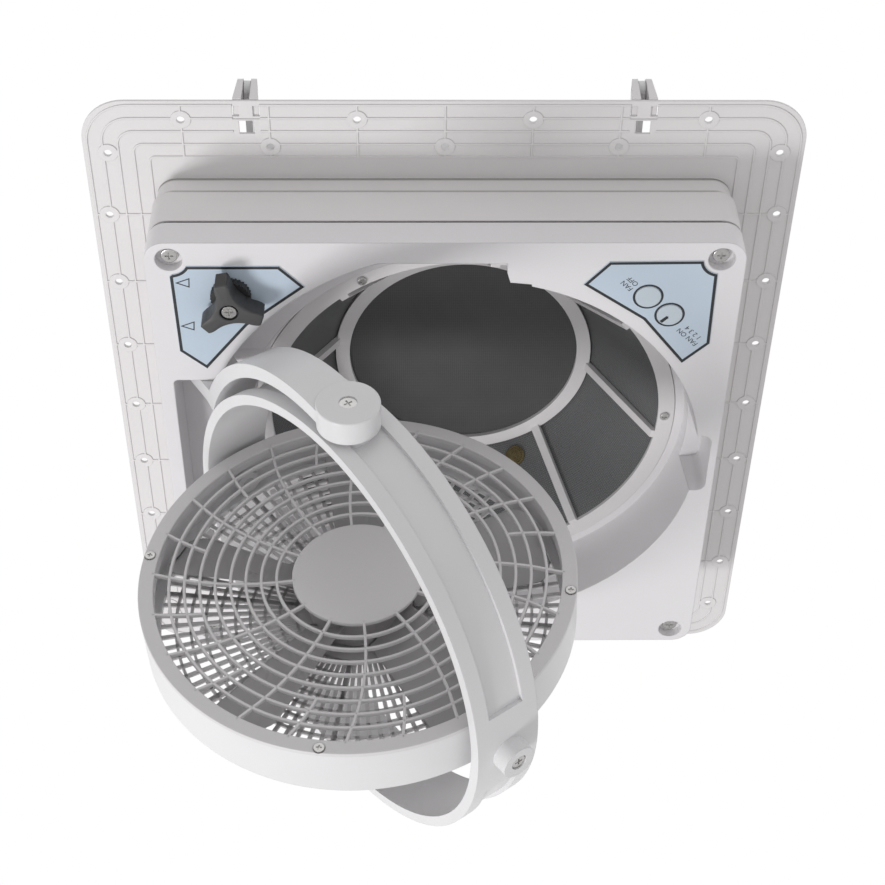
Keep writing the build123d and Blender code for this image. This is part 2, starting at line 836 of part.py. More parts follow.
# Swinging arm, seen from below in its own plane: x along the arm, y to the pad
swing = math.radians(arm_swing)
arm_x = Vector(math.cos(swing), 0, -math.sin(swing))
arm_z = Vector(-math.sin(swing), 0, -math.cos(swing))
hinge_point = Vector(hinge_x, duct_y, -hinge_drop)
hoop_centre = hinge_point + arm_x * arm_reach - arm_z * arm_back
swivel_point = hoop_centre + arm_z * pad_forward
arm_plane = Plane(origin=hoop_centre, x_dir=arm_x, z_dir=arm_z)
arm_width = arm_near + arm_far
arm_inner_r = arm_outer_r - arm_thick
arm_out_x = math.sqrt(arm_outer_r**2 - arm_end_y**2)
root_length_y = channel_edge - root_gap - arm_end_y
pad_plane = Plane(origin=swivel_point, x_dir=arm_x, z_dir=(0, -1, 0))
with BuildPart() as pivot_arm:
    with BuildSketch(arm_plane.offset(-arm_far)):
        Circle(arm_outer_r)
        Circle(arm_inner_r, mode=Mode.SUBTRACT)
        far_x = -arm_outer_r - arm_outer_r
        with BuildLine():
            Polyline(
                (0, 0),
                (0, arm_outer_r + overrun),
                (far_x, arm_outer_r + overrun),
                (far_x, -far_x * arm_end_y / arm_out_x),
                close=True,
            )
        make_face(mode=Mode.INTERSECT)
    extrude(amount=arm_width)
    with BuildSketch(pad_plane.offset(pad_back)):
        Circle(pad_r)
    extrude(amount=pad_face - pad_back)
    pad_rim = pivot_arm.edges().filter_by(GeomType.CIRCLE).group_by(Axis.Y)[0]
    fillet(pad_rim, pad_chamfer)
    root_plane = Plane(
        origin=hinge_point + Vector(0, -arm_end_y, 0),
        x_dir=arm_x,
        z_dir=(0, -1, 0),
    )
    with BuildSketch(root_plane):
        root_in_x = arm_reach - math.sqrt(arm_inner_r**2 - arm_end_y**2)
        back_low = -arm_near + arm_back
        back_high = arm_far + arm_back
        with BuildLine():
            Polyline(
                (-root_out, back_low),
                (root_in_x, back_low),
                (root_in_x, back_high),
                (-root_out, back_high),
                close=True,
            )
        make_face()
        with BuildLine():
            Polyline(
                (0, back_low - overrun),
                (-root_out - overrun, back_low - overrun),
                (-root_out - overrun, back_high + overrun),
                (0, back_high + overrun),
                close=True,
            )
        make_face(mode=Mode.SUBTRACT)
        Circle(root_round_r)
        with BuildLine():
            Polyline(
                (-root_out, back_low),
                (root_in_x, back_low),
                (root_in_x, back_high),
                (-root_out, back_high),
                close=True,
            )
        make_face(mode=Mode.INTERSECT)
    extrude(amount=root_length_y)
    with BuildSketch(root_plane):
        Circle(barrel_r)
    extrude(amount=barrel_end - arm_end_y)
    with BuildSketch(pad_plane.offset(pad_face - pad_screw_sink)):
        Circle(big_head_r)
    extrude(amount=pad_screw_sink + overrun, mode=Mode.SUBTRACT)
    with BuildSketch(pad_plane.offset(pad_back - overrun)):
        Circle(swivel_pin_r + running_gap)
    extrude(amount=pad_face - pad_back - pad_screw_sink + overrun, mode=Mode.SUBTRACT)
    with BuildSketch(root_plane.offset(barrel_end - arm_end_y)):
        Circle(small_shank_r)
    extrude(amount=-small_shank, mode=Mode.SUBTRACT)
    with BuildSketch(arm_plane.offset(-arm_far - pad_r)):
        Circle(pad_back)
    extrude(amount=arm_width + pad_r + pad_r, mode=Mode.SUBTRACT)
pivot_arm.part.label = "pivot_arm"
export_step(pivot_arm.part, "parts/pivot_arm.step")

pin_head = pad_face - pad_screw_sink
with BuildPart() as pad_screw:
    with BuildSketch(pad_plane.offset(pin_head)):
        Circle(big_head_r - running_gap)
    extrude(amount=pad_screw_sink - head_round)
    with BuildSketch(pad_plane.offset(pad_face - head_round)):
        Rectangle(big_head_r, cross_width)
        Rectangle(cross_width, big_head_r)
    extrude(amount=-cross_depth, mode=Mode.SUBTRACT)
pad_screw.part.label = "pad_screw"
export_step(pad_screw.part, "parts/pad_screw.step")

with BuildPart() as arm_end_cap:
    with BuildSketch(root_plane.offset(barrel_end - arm_end_y)):
        Circle(cap_r)
        Circle(small_shank_r, mode=Mode.SUBTRACT)
    extrude(amount=cap_thick)
arm_end_cap.part.label = "arm_end_cap"
export_step(arm_end_cap.part, "parts/arm_end_cap.step")

with BuildPart() as arm_end_screw:
    with BuildSketch(root_plane.offset(barrel_end - arm_end_y + cap_thick)):
        Circle(small_head_r)
    extrude(amount=small_head)
    with BuildSketch(root_plane.offset(barrel_end - arm_end_y + cap_thick)):
        Circle(small_shank_r)
    extrude(amount=-small_shank)
    with BuildSketch(root_plane.offset(barrel_end - arm_end_y + cap_thick + small_head)):
        Rectangle(small_head_r, cross_width)
        Rectangle(cross_width, small_head_r)
    extrude(amount=-cross_depth, mode=Mode.SUBTRACT)
arm_end_screw.part.label = "arm_end_screw"
export_step(arm_end_screw.part, "parts/arm_end_screw.step")

# Hoop with recessed outer face, swivel boss and two tilt lugs
spin = math.radians(hoop_swing)
hoop_x = Vector(math.cos(spin), 0, -math.sin(spin))
hoop_z = Vector(-math.sin(spin), 0, -math.cos(spin))
hoop_plane = Plane(origin=hoop_centre, x_dir=hoop_x, z_dir=hoop_z)
hoop_inner_r = hoop_outer_r - hoop_thick
boss_plane = Plane(origin=swivel_point, x_dir=hoop_x, z_dir=(0, -1, 0))
with BuildPart() as swivel_hoop:
    with BuildSketch(hoop_plane.offset(-hoop_width / 2)):
        Circle(hoop_outer_r)
        Circle(hoop_inner_r, mode=Mode.SUBTRACT)
    extrude(amount=hoop_width)
    for start in (channel_turn, 180 + channel_turn):
        with BuildSketch(hoop_plane.offset(-channel_width / 2)):
            Circle(hoop_outer_r + overrun)
            Circle(hoop_outer_r - channel_deep, mode=Mode.SUBTRACT)
            reach = hoop_outer_r + hoop_outer_r
            first_x, first_y = polar(reach, start)
            last_x, last_y = polar(reach, start + 180 - channel_turn * 2)
            with BuildLine():
                Polyline(
                    (0, 0),
                    (first_x, first_y),
                    (first_x, first_y + math.copysign(reach, first_y)),
                    (last_x, last_y + math.copysign(reach, last_y)),
                    (last_x, last_y),
                    close=True,
                )
            make_face(mode=Mode.INTERSECT)
        extrude(amount=channel_width, mode=Mode.SUBTRACT)
    with BuildSketch(boss_plane.offset(hoop_inner_r + channel_deep / 2)):
        Circle(swivel_boss_r)
    extrude(amount=swivel_boss_face - hoop_inner_r - channel_deep / 2)
    with BuildSketch(boss_plane.offset(hoop_inner_r - overrun)):
        Circle(swivel_pin_r)
    extrude(amount=swivel_boss_face, mode=Mode.SUBTRACT)
    for lug_plane in (
        Plane(origin=hoop_centre, x_dir=(0, 1, 0), z_dir=hoop_x),
        Plane(origin=hoop_centre, x_dir=(0, 1, 0), z_dir=hoop_x * -1),
    ):
        with BuildSketch(lug_plane.offset(lug_in)):
            Circle(lug_r)
        extrude(amount=lug_out - lug_in)
        with BuildSketch(lug_plane.offset(lug_in)):
            Circle(tilt_pin_r)
        extrude(amount=tilt_pin_out - lug_in, mode=Mode.SUBTRACT)
        with BuildSketch(lug_plane.offset(tilt_pin_out)):
            Circle(lug_sink_r)
        extrude(amount=lug_out - tilt_pin_out, mode=Mode.SUBTRACT)
swivel_hoop.part.label = "swivel_hoop"
export_step(swivel_hoop.part, "parts/swivel_hoop.step")

# Swivel pin with its flanged foot, and the washer under the pad
with BuildPart() as swivel_pin:
    with BuildSketch(boss_plane.offset(hoop_inner_r)):
        Circle(swivel_pin_r)
    extrude(amount=pin_head - hoop_inner_r - running_gap)
swivel_pin.part.label = "swivel_pin"
export_step(swivel_pin.part, "parts/swivel_pin.step")

with BuildPart() as swivel_washer:
    with BuildSketch(boss_plane.offset(swivel_boss_face)):
        Circle(washer_r)
        Circle(swivel_pin_r, mode=Mode.SUBTRACT)
    extrude(amount=pad_back - swivel_boss_face - washer_gap)
swivel_washer.part.label = "swivel_washer"
export_step(swivel_washer.part, "parts/swivel_washer.step")

with BuildPart() as tilt_pins:
    for lug_plane in (
        Plane(origin=hoop_centre, x_dir=(0, 1, 0), z_dir=hoop_x),
        Plane(origin=hoop_centre, x_dir=(0, 1, 0), z_dir=hoop_x * -1),
    ):
        with BuildSketch(lug_plane.offset(tilt_pin_in)):
            Circle(tilt_pin_r)
        extrude(amount=tilt_pin_out - tilt_pin_in)
tilt_pins.part.label = "tilt_pins"
export_step(tilt_pins.part, "parts/tilt_pins.step")

with BuildPart() as lug_screws:
    for lug_plane in (
        Plane(origin=hoop_centre, x_dir=(0, 1, 0), z_dir=hoop_x),
        Plane(origin=hoop_centre, x_dir=(0, 1, 0), z_dir=hoop_x * -1),
    ):
        with BuildSketch(lug_plane.offset(tilt_pin_out)):
            Circle(lug_sink_r - head_round)
        extrude(amount=lug_out - tilt_pin_out - head_round)
        with BuildSketch(lug_plane.offset(lug_out - head_round)):
            Rectangle(lug_sink_r, cross_width)
            Rectangle(cross_width, lug_sink_r)
        extrude(amount=-cross_depth, mode=Mode.SUBTRACT)
lug_screws.part.label = "lug_screws"
export_step(lug_screws.part, "parts/lug_screws.step")

# Fan: housing band, guards, motor and rotor about the fan's own axis
tilt = math.radians(fan_tilt)
fan_z = hoop_z * math.cos(tilt) + Vector(0, -1, 0) * math.sin(tilt)
fan_plane = Plane(origin=hoop_centre, x_dir=hoop_x, z_dir=fan_z)
fan_inner_r = fan_r - fan_wall
guard_back = fan_front - guard_thick
with BuildPart() as fan_housing:
    with BuildSketch(fan_plane.offset(-fan_back)):
        Circle(fan_r)
        Circle(fan_inner_r, mode=Mode.SUBTRACT)
    extrude(amount=guard_back + fan_back)
    with BuildSketch(fan_plane.offset(guard_back)):
        Circle(fan_r)
        Circle(guard_rim_r, mode=Mode.SUBTRACT)
    extrude(amount=-lip_deep)
    with BuildSketch(fan_plane.offset(-fan_back)):
        Circle(fan_r)
        Circle(guard_rim_r, mode=Mode.SUBTRACT)
    extrude(amount=fan_wall)
    for lug_plane in (
        Plane(origin=hoop_centre, x_dir=(0, 1, 0), z_dir=hoop_x),
        Plane(origin=hoop_centre, x_dir=(0, 1, 0), z_dir=hoop_x * -1),
    ):
        with BuildSketch(lug_plane.offset(tilt_pin_in)):
            Circle(fan_boss_r)
        extrude(amount=lug_in - fan_boss_gap - tilt_pin_in)
        with BuildSketch(lug_plane.offset(tilt_pin_in - overrun)):
            Circle(tilt_pin_r + running_gap)
        extrude(amount=lug_in - tilt_pin_in + overrun, mode=Mode.SUBTRACT)
    with BuildSketch(fan_plane.offset(guard_back)):
        with PolarLocations(guard_screw_r, guard_screw_count, start_angle=guard_screw_turn):
            Circle(small_shank_r)
    extrude(amount=-lip_deep, mode=Mode.SUBTRACT)
fan_housing.part.label = "fan_housing"
export_step(fan_housing.part, "parts/fan_housing.step")

guard_pitch = (guard_rim_r - guard_hub_r) / (guard_rings + 1)
with BuildPart() as front_guard:
    with BuildSketch(fan_plane.offset(guard_back)):
        Circle(fan_r)
        Circle(guard_rim_r, mode=Mode.SUBTRACT)
        for ring in range(guard_rings):
            ring_r = guard_hub_r + guard_pitch * (guard_rings - ring)
            with BuildSketch(mode=Mode.PRIVATE) as one_ring:
                Circle(ring_r + guard_bar / 2)
                Circle(ring_r - guard_bar / 2, mode=Mode.SUBTRACT)
            add(one_ring.sketch)
        Circle(guard_hub_r)
        long_bar = guard_rim_r - guard_hub_r + guard_bar + guard_bar
        with PolarLocations((guard_rim_r + guard_hub_r) / 2, guard_spokes):
            Rectangle(long_bar, guard_bar)
        short_r = guard_hub_r + guard_pitch * guard_short_from
        short_bar = guard_rim_r - short_r + guard_bar
        half_turn = 180 / guard_spokes
        with PolarLocations((guard_rim_r + short_r + guard_bar) / 2, guard_spokes, start_angle=half_turn):
            Rectangle(short_bar, guard_bar)
        with PolarLocations(guard_screw_r, guard_screw_count, start_angle=guard_screw_turn):
            Circle(small_shank_r + running_gap * 2, mode=Mode.SUBTRACT)
    extrude(amount=guard_thick)
    with BuildSketch(fan_plane.offset(fan_front)):
        with PolarLocations(guard_screw_r, guard_screw_count, start_angle=guard_screw_turn):
            Circle(small_head_r + head_round / 2)
    extrude(amount=-guard_thick / 2, mode=Mode.SUBTRACT)
front_guard.part.label = "front_guard"
export_step(front_guard.part, "parts/front_guard.step")

with BuildPart() as guard_screws:
    with BuildSketch(fan_plane.offset(fan_front - guard_thick / 2)):
        with PolarLocations(guard_screw_r, guard_screw_count, start_angle=guard_screw_turn):
            Circle(small_head_r)
    extrude(amount=small_head)
    with BuildSketch(fan_plane.offset(fan_front - guard_thick / 2)):
        with PolarLocations(guard_screw_r, guard_screw_count, start_angle=guard_screw_turn):
            Circle(small_shank_r)
    extrude(amount=-guard_thick / 2 - lip_deep + overrun)
    with BuildSketch(fan_plane.offset(fan_front - guard_thick / 2 + small_head)):
        with PolarLocations(guard_screw_r, guard_screw_count, start_angle=guard_screw_turn):
            Rectangle(small_head_r, cross_width)
            Rectangle(cross_width, small_head_r)
    extrude(amount=-cross_depth, mode=Mode.SUBTRACT)
guard_screws.part.label = "guard_screws"
export_step(guard_screws.part, "parts/guard_screws.step")

rear_pitch = (guard_rim_r - rear_hub_r) / (rear_rings + 1)
with BuildPart() as rear_guard:
    with BuildSketch(fan_plane.offset(-fan_back)):
        Circle(fan_inner_r)
        Circle(guard_rim_r, mode=Mode.SUBTRACT)
        for ring in range(rear_rings):
            ring_r = rear_hub_r + rear_pitch * (rear_rings - ring)
            with BuildSketch(mode=Mode.PRIVATE) as one_ring:
                Circle(ring_r + guard_bar / 2)
                Circle(ring_r - guard_bar / 2, mode=Mode.SUBTRACT)
            add(one_ring.sketch)
        Circle(rear_hub_r)
        with PolarLocations((guard_rim_r + rear_hub_r) / 2, rear_spokes):
            Rectangle(guard_rim_r - rear_hub_r + guard_bar + guard_bar, guard_bar * 2)
        Circle(shaft_r + head_round, mode=Mode.SUBTRACT)
    extrude(amount=-guard_thick)
rear_guard.part.label = "rear_guard"
export_step(rear_guard.part, "parts/rear_guard.step")

cover_front = fan_back + guard_thick
with BuildPart() as motor_cover:
    with BuildSketch(fan_plane.offset(-cover_front)):
        Circle(cover_r)
    extrude(amount=-cover_deep)
    fillet(motor_cover.faces().sort_by(Axis((0, 0, 0), tuple(fan_z)))[0].edges(), cover_wall * 2)
    with BuildSketch(fan_plane.offset(-cover_front)):
        Circle(cover_r - cover_wall)
    extrude(amount=-cover_deep + cover_wall, mode=Mode.SUBTRACT)
motor_cover.part.label = "motor_cover"
export_step(motor_cover.part, "parts/motor_cover.step")

with BuildPart() as motor_can:
    with BuildSketch(fan_plane.offset(-cover_front)):
        Circle(motor_r)
        Circle(shaft_r + running_gap, mode=Mode.SUBTRACT)
    extrude(amount=-motor_deep)
motor_can.part.label = "motor_can"
export_step(motor_can.part, "parts/motor_can.step")

with BuildPart() as rotor_shaft:
    with BuildSketch(fan_plane.offset(-cover_front - motor_deep)):
        Circle(shaft_r)
    extrude(amount=cover_front + motor_deep + rotor_front - overrun)
rotor_shaft.part.label = "rotor_shaft"
export_step(rotor_shaft.part, "parts/rotor_shaft.step")

with BuildPart() as fan_rotor:
    with BuildSketch(fan_plane.offset(-rotor_back)):
        Circle(rotor_hub_r)
    extrude(amount=rotor_front + rotor_back)
    for blade in range(blade_count):
        turn_x, turn_y = polar(1, blade * 360 / blade_count)
        blade_out = fan_plane.x_dir * turn_x + fan_plane.y_dir * turn_y
        blade_side = fan_plane.y_dir * turn_x - fan_plane.x_dir * turn_y
        for radius, chord, pitch in (
            (rotor_hub_r - blade_thick, blade_root_chord, blade_root_pitch),
            (blade_tip_r, blade_tip_chord, blade_tip_pitch),
        ):
            lean = math.radians(pitch)
            along = blade_side * math.cos(lean) + fan_z * math.sin(lean)
            blade_origin = hoop_centre + blade_out * radius + fan_z * blade_mid
            with BuildSketch(Plane(origin=blade_origin, x_dir=along, z_dir=blade_out)):
                RectangleRounded(chord, blade_thick, blade_thick / 3)
        loft()
    with BuildSketch(fan_plane.offset(-rotor_back)):
        Circle(rotor_hub_r - blade_thick * 2)
        Circle(shaft_r * 2, mode=Mode.SUBTRACT)
    extrude(amount=rotor_front + rotor_back - blade_thick, mode=Mode.SUBTRACT)
    with BuildSketch(fan_plane.offset(-rotor_back)):
        Circle(shaft_r)
    extrude(amount=rotor_front + rotor_back - overrun, mode=Mode.SUBTRACT)
fan_rotor.part.label = "fan_rotor"
export_step(fan_rotor.part, "parts/fan_rotor.step")

# Lid: skirted dome over the coaming, with two hinge leaves
land_z = coaming_height + seal_height + lid_gap
lid_bottom = land_z + lid_wall - lid_skirt
dome_foot = land_z + lid_wall
lid_inner = lid_size - lid_wall * 2
void_size = lid_inner - lid_land * 2
void_top = lid_top_size - lid_wall * 3
leaf_from = duct_y - lid_size / 2
with BuildPart() as lid_dome:
    with BuildSketch(level(lid_bottom, y=duct_y)):
        RectangleRounded(lid_size, lid_size, lid_corner)
    extrude(amount=lid_skirt)
    with BuildSketch(level(dome_foot, y=duct_y)):
        RectangleRounded(lid_size, lid_size, lid_corner)
    with BuildSketch(level(dome_foot + lid_crown, y=duct_y)):
        RectangleRounded(lid_top_size, lid_top_size, lid_top_corner)
    loft()
    with BuildSketch(level(lid_bottom, y=duct_y)):
        RectangleRounded(lid_inner, lid_inner, lid_corner - lid_wall)
    extrude(amount=lid_skirt - lid_wall, mode=Mode.SUBTRACT)
    with BuildSketch(level(land_z, y=duct_y)):
        RectangleRounded(void_size, void_size, lid_corner - lid_wall)
    extrude(amount=lid_wall, mode=Mode.SUBTRACT)
    with BuildSketch(level(dome_foot, y=duct_y)):
        void_foot = lid_inner - lid_wall * 2
        RectangleRounded(void_foot, void_foot, lid_corner - lid_wall * 2)
    with BuildSketch(level(dome_foot + lid_crown - lid_wall, y=duct_y)):
        RectangleRounded(void_top, void_top, lid_top_corner - lid_wall)
    loft(mode=Mode.SUBTRACT)
    for side_x in (-1, 1):
        leaf_plane = Plane(
            origin=(side_x * tab_x - leaf_width / 2, lid_hinge_y, lid_hinge_z),
            x_dir=(0, 1, 0),
            z_dir=(1, 0, 0),
        )
        with BuildSketch(leaf_plane):
            Circle(leaf_r)
            with Locations(((leaf_from - lid_hinge_y) / 2, 0)):
                Rectangle(leaf_from - lid_hinge_y + lid_wall, leaf_r * 2)
            Circle(hinge_pin_r, mode=Mode.SUBTRACT)
        extrude(amount=leaf_width)
lid_dome.part.label = "lid_dome"
export_step(lid_dome.part, "parts/lid_dome.step")

with BuildPart() as hinge_pins:
    for side_x in (-1, 1):
        with BuildSketch(Plane(origin=(side_x * tab_x, lid_hinge_y, lid_hinge_z), z_dir=(1, 0, 0))):
            Circle(hinge_pin_r)
        extrude(amount=tab_top / 2, both=True)
hinge_pins.part.label = "hinge_pins"
export_step(hinge_pins.part, "parts/hinge_pins.step")

# Cam fork under the lid: its feet are involutes about the lid's hinge, so the nut's
# rise is in steady proportion to the lid's angle
lift_at_y = duct_y - lift_y
base_r = lift_at_y - lid_hinge_y
opening = math.radians(lid_opening)
contact_rise = -base_r * opening - cam_spare
cam_points = []
cam_steps = 8
for step in range(cam_steps + 1):
    angle = opening * step / cam_steps
    height = contact_rise + base_r * angle + cam_gap
    cam_points.append(
        (
            base_r * math.cos(angle) + height * math.sin(angle),
            -base_r * math.sin(angle) + height * math.cos(angle),
        )
    )
fork_top = land_z - lid_hinge_z
with BuildPart() as cam_fork:
    for side_x in (-1, 1):
        fork_plane = Plane(
            origin=(lift_x + side_x * (fork_in + fork_thick / 2), lid_hinge_y, lid_hinge_z),
            x_dir=(0, 1, 0),
            z_dir=(1, 0, 0),
        )
        with BuildSketch(fork_plane):
            with BuildLine():
                Spline(*cam_points)
                Polyline(
                    cam_points[-1],
                    (fork_back, cam_points[-1][1] + fork_foot),
                    (fork_back, fork_top),
                    (fork_front, fork_top),
                    (fork_front, cam_points[0][1] + fork_foot),
                    cam_points[0],
                )
            make_face()
        extrude(amount=fork_thick / 2, both=True)
    fork_wide = (fork_in + fork_thick) * 2
    plate_depth = fork_front - fork_reach
    with BuildSketch(level(land_z - fork_plate, x=lift_x, y=lid_hinge_y + fork_reach + plate_depth / 2)):
        Rectangle(fork_wide, plate_depth)
    extrude(amount=fork_plate)
    screw_row_y = lid_hinge_y + fork_reach + small_head_r
    with BuildSketch(level(land_z - fork_plate, x=lift_x, y=screw_row_y)):
        with Locations((-fork_in, 0), (fork_in, 0)):
            Circle(small_shank_r)
    extrude(amount=fork_plate, mode=Mode.SUBTRACT)
cam_fork.part.label = "cam_fork"
export_step(cam_fork.part, "parts/cam_fork.step")

with BuildPart() as fork_screws:
    with BuildSketch(level(land_z - fork_plate, x=lift_x, y=screw_row_y)):
        with Locations((-fork_in, 0), (fork_in, 0)):
            Circle(small_head_r)
    extrude(amount=-small_head)
    with BuildSketch(level(land_z - fork_plate, x=lift_x, y=screw_row_y)):
        with Locations((-fork_in, 0), (fork_in, 0)):
            Circle(small_shank_r)
    extrude(amount=fork_plate)
    with BuildSketch(level(land_z - fork_plate - small_head, x=lift_x, y=screw_row_y)):
        with Locations((-fork_in, 0), (fork_in, 0)):
            Rectangle(small_head_r, cross_width)
            Rectangle(cross_width, small_head_r)
    extrude(amount=cross_depth, mode=Mode.SUBTRACT)
fork_screws.part.label = "fork_screws"
export_step(fork_screws.part, "parts/fork_screws.step")

# Lift: base plate on the skin, two guide rods, lead spindle and running nut
nut_top = lid_hinge_z + contact_rise
nut_bottom = nut_top - nut_high
base_top = -skin_back + base_thick
with BuildPart() as lift_base:
    with BuildSketch(level(-skin_back, x=lift_x, y=lift_at_y)):
        Rectangle(nut_x, nut_y)
        Circle(spindle_r + running_gap, mode=Mode.SUBTRACT)
        with Locations((-rod_x, 0), (rod_x, 0)):
            Circle(rod_r, mode=Mode.SUBTRACT)
    extrude(amount=base_thick)
lift_base.part.label = "lift_base"
export_step(lift_base.part, "parts/lift_base.step")

with BuildPart() as guide_rods:
    with BuildSketch(level(-skin_back, x=lift_x, y=lift_at_y)):
        with Locations((-rod_x, 0), (rod_x, 0)):
            Circle(rod_r)
    extrude(amount=skin_back + rod_top)
guide_rods.part.label = "guide_rods"
export_step(guide_rods.part, "parts/guide_rods.step")

knob_face = panel_drop + label_thick + knob_gap
with BuildPart() as lead_spindle:
    with BuildSketch(level(-knob_face - knob_boss, x=lift_x, y=lift_at_y)):
        Circle(spindle_r)
    extrude(amount=knob_face + knob_boss + spindle_top)
    with BuildSketch(level(base_top + base_gap, x=lift_x, y=lift_at_y)):
        Circle(collar_r)
    extrude(amount=nut_bottom - base_top - base_gap - nut_gap)
lead_spindle.part.label = "lead_spindle"
export_step(lead_spindle.part, "parts/lead_spindle.step")

with BuildPart() as lift_nut:
    with BuildSketch(level(nut_bottom, x=lift_x, y=lift_at_y)):
        Rectangle(nut_x, nut_y)
        Circle(spindle_r + running_gap * 2, mode=Mode.SUBTRACT)
        with Locations((-rod_x, 0), (rod_x, 0)):
            Circle(rod_r + running_gap, mode=Mode.SUBTRACT)
    extrude(amount=nut_high)
lift_nut.part.label = "lift_nut"
export_step(lift_nut.part, "parts/lift_nut.step")

# Three-lobed knob and its screw
with BuildPart() as knob:
    with BuildSketch(level(-knob_face, x=lift_x, y=lift_at_y)):
        Circle(knob_boss_r)
    extrude(amount=-knob_boss)
    with BuildSketch(level(-knob_face - knob_boss, x=lift_x, y=lift_at_y)):
        Circle(lobe_hub_r)
        for lobe in range(lobe_count):
            tip_turn = lobe_turn + lobe * 360 / lobe_count
            tip_x, tip_y = polar(lobe_r, tip_turn)
            side_a = polar(lobe_hub_r, tip_turn + 60)
            side_b = polar(lobe_hub_r, tip_turn - 60)
            edge_x, edge_y = polar(lobe_tip_r, tip_turn + 90)
            with Locations((tip_x, tip_y)):
                Circle(lobe_tip_r)
            Polygon(
                side_a,
                side_b,
                (tip_x - edge_x, tip_y - edge_y),
                (tip_x + edge_x, tip_y + edge_y),
                align=None,
            )
    extrude(amount=-knob_high + knob_boss)
    knob_rim = knob.faces().sort_by(Axis.Z)[0].outer_wire().edges()
    fillet(knob_rim, knob_round)
    with BuildSketch(level(-knob_face - knob_high, x=lift_x, y=lift_at_y)):
        Circle(knob_sink_r)
    extrude(amount=knob_sink, mode=Mode.SUBTRACT)
    with BuildSketch(level(-knob_face - knob_high, x=lift_x, y=lift_at_y)):
        Circle(big_shank_r)
    extrude(amount=knob_high - knob_boss, mode=Mode.SUBTRACT)
    with BuildSketch(level(-knob_face, x=lift_x, y=lift_at_y)):
        Circle(spindle_r)
    extrude(amount=-knob_boss, mode=Mode.SUBTRACT)
knob.part.label = "knob"
export_step(knob.part, "parts/knob.step")

with BuildPart() as knob_screw:
    with BuildSketch(level(-knob_face - knob_high + knob_sink, x=lift_x, y=lift_at_y)):
        Circle(big_head_r - head_round)
    extrude(amount=-knob_sink + head_round)
    with BuildSketch(level(-knob_face - knob_high + knob_sink, x=lift_x, y=lift_at_y)):
        Circle(big_shank_r)
    extrude(amount=knob_high - knob_boss - knob_sink)
    with BuildSketch(level(-knob_face - knob_high + head_round, x=lift_x, y=lift_at_y)):
        Rectangle(big_head_r, cross_width)
        Rectangle(cross_width, big_head_r)
    extrude(amount=cross_depth, mode=Mode.SUBTRACT)
knob_screw.part.label = "knob_screw"
export_step(knob_screw.part, "parts/knob_screw.step")

# Fan controls: push button and speed dial, with their bodies, board and housing
control_x = (button_x + dial_x) / 2
control_y = duct_y - (button_y + dial_y) / 2
control_turn = math.degrees(math.atan2(button_y - dial_y, dial_x - button_x))
control_plane = level(-skin_back, x=control_x, y=control_y).rotated((0, 0, control_turn))
with BuildPart() as control_housing:
    with BuildSketch(control_plane):
        Rectangle(housing_long, housing_wide)
    extrude(amount=housing_deep)
    with BuildSketch(control_plane):
        Rectangle(housing_long - housing_wall * 2, housing_wide - housing_wall * 2)
    extrude(amount=housing_deep - housing_wall, mode=Mode.SUBTRACT)
control_housing.part.label = "control_housing"
export_step(control_housing.part, "parts/control_housing.step")

board_rise = housing_deep - housing_wall - board_thick
with BuildPart() as circuit_board:
    with BuildSketch(control_plane.offset(board_rise)):
        board_long = housing_long - housing_wall * 2 - board_gap * 2
        board_wide = housing_wide - housing_wall * 2 - board_gap * 2
        Rectangle(board_long, board_wide)
    extrude(amount=board_thick)
circuit_board.part.label = "circuit_board"
export_step(circuit_board.part, "parts/circuit_board.step")

button_back = panel_drop + label_thick + button_proud - button_thick
body_front = button_back - body_skip
body_back_z = -skin_back + board_rise
stem_end = -button_back + stem_long
with BuildPart() as switch_body:
    with BuildSketch(level(-body_front, x=button_x, y=duct_y - button_y)):
        Circle(body_r)
    extrude(amount=body_back_z + body_front)
    with BuildSketch(level(-body_front, x=button_x, y=duct_y - button_y)):
        Circle(stem_r + running_gap)
    extrude(amount=stem_end + button_travel * 2 + body_front, mode=Mode.SUBTRACT)
switch_body.part.label = "switch_body"
export_step(switch_body.part, "parts/switch_body.step")

with BuildPart() as button_spring:
    with BuildSketch(level(-body_front, x=button_x, y=duct_y - button_y)):
        Circle(wave_r)
        Circle(stem_r + wave_gap, mode=Mode.SUBTRACT)
    extrude(amount=-body_skip + button_travel + wave_gap)
button_spring.part.label = "button_spring"
export_step(button_spring.part, "parts/button_spring.step")

with BuildPart() as off_button:
    with BuildSketch(level(-button_back, x=button_x, y=duct_y - button_y)):
        Circle(button_r)
    extrude(amount=-button_thick)
    fillet(off_button.faces().sort_by(Axis.Z)[0].edges(), head_round)
    with BuildSketch(level(-button_back, x=button_x, y=duct_y - button_y)):
        Circle(stem_r)
    extrude(amount=stem_long)
off_button.part.label = "off_button"
export_step(off_button.part, "parts/off_button.step")

with BuildPart() as dial_body:
    with BuildSketch(level(-button_back + wave_gap, x=dial_x, y=duct_y - dial_y)):
        Circle(body_r)
    extrude(amount=body_back_z + button_back - wave_gap)
    with BuildSketch(level(-button_back, x=dial_x, y=duct_y - dial_y)):
        Circle(stem_r + running_gap)
    extrude(amount=stem_long + wave_gap, mode=Mode.SUBTRACT)
dial_body.part.label = "dial_body"
export_step(dial_body.part, "parts/dial_body.step")

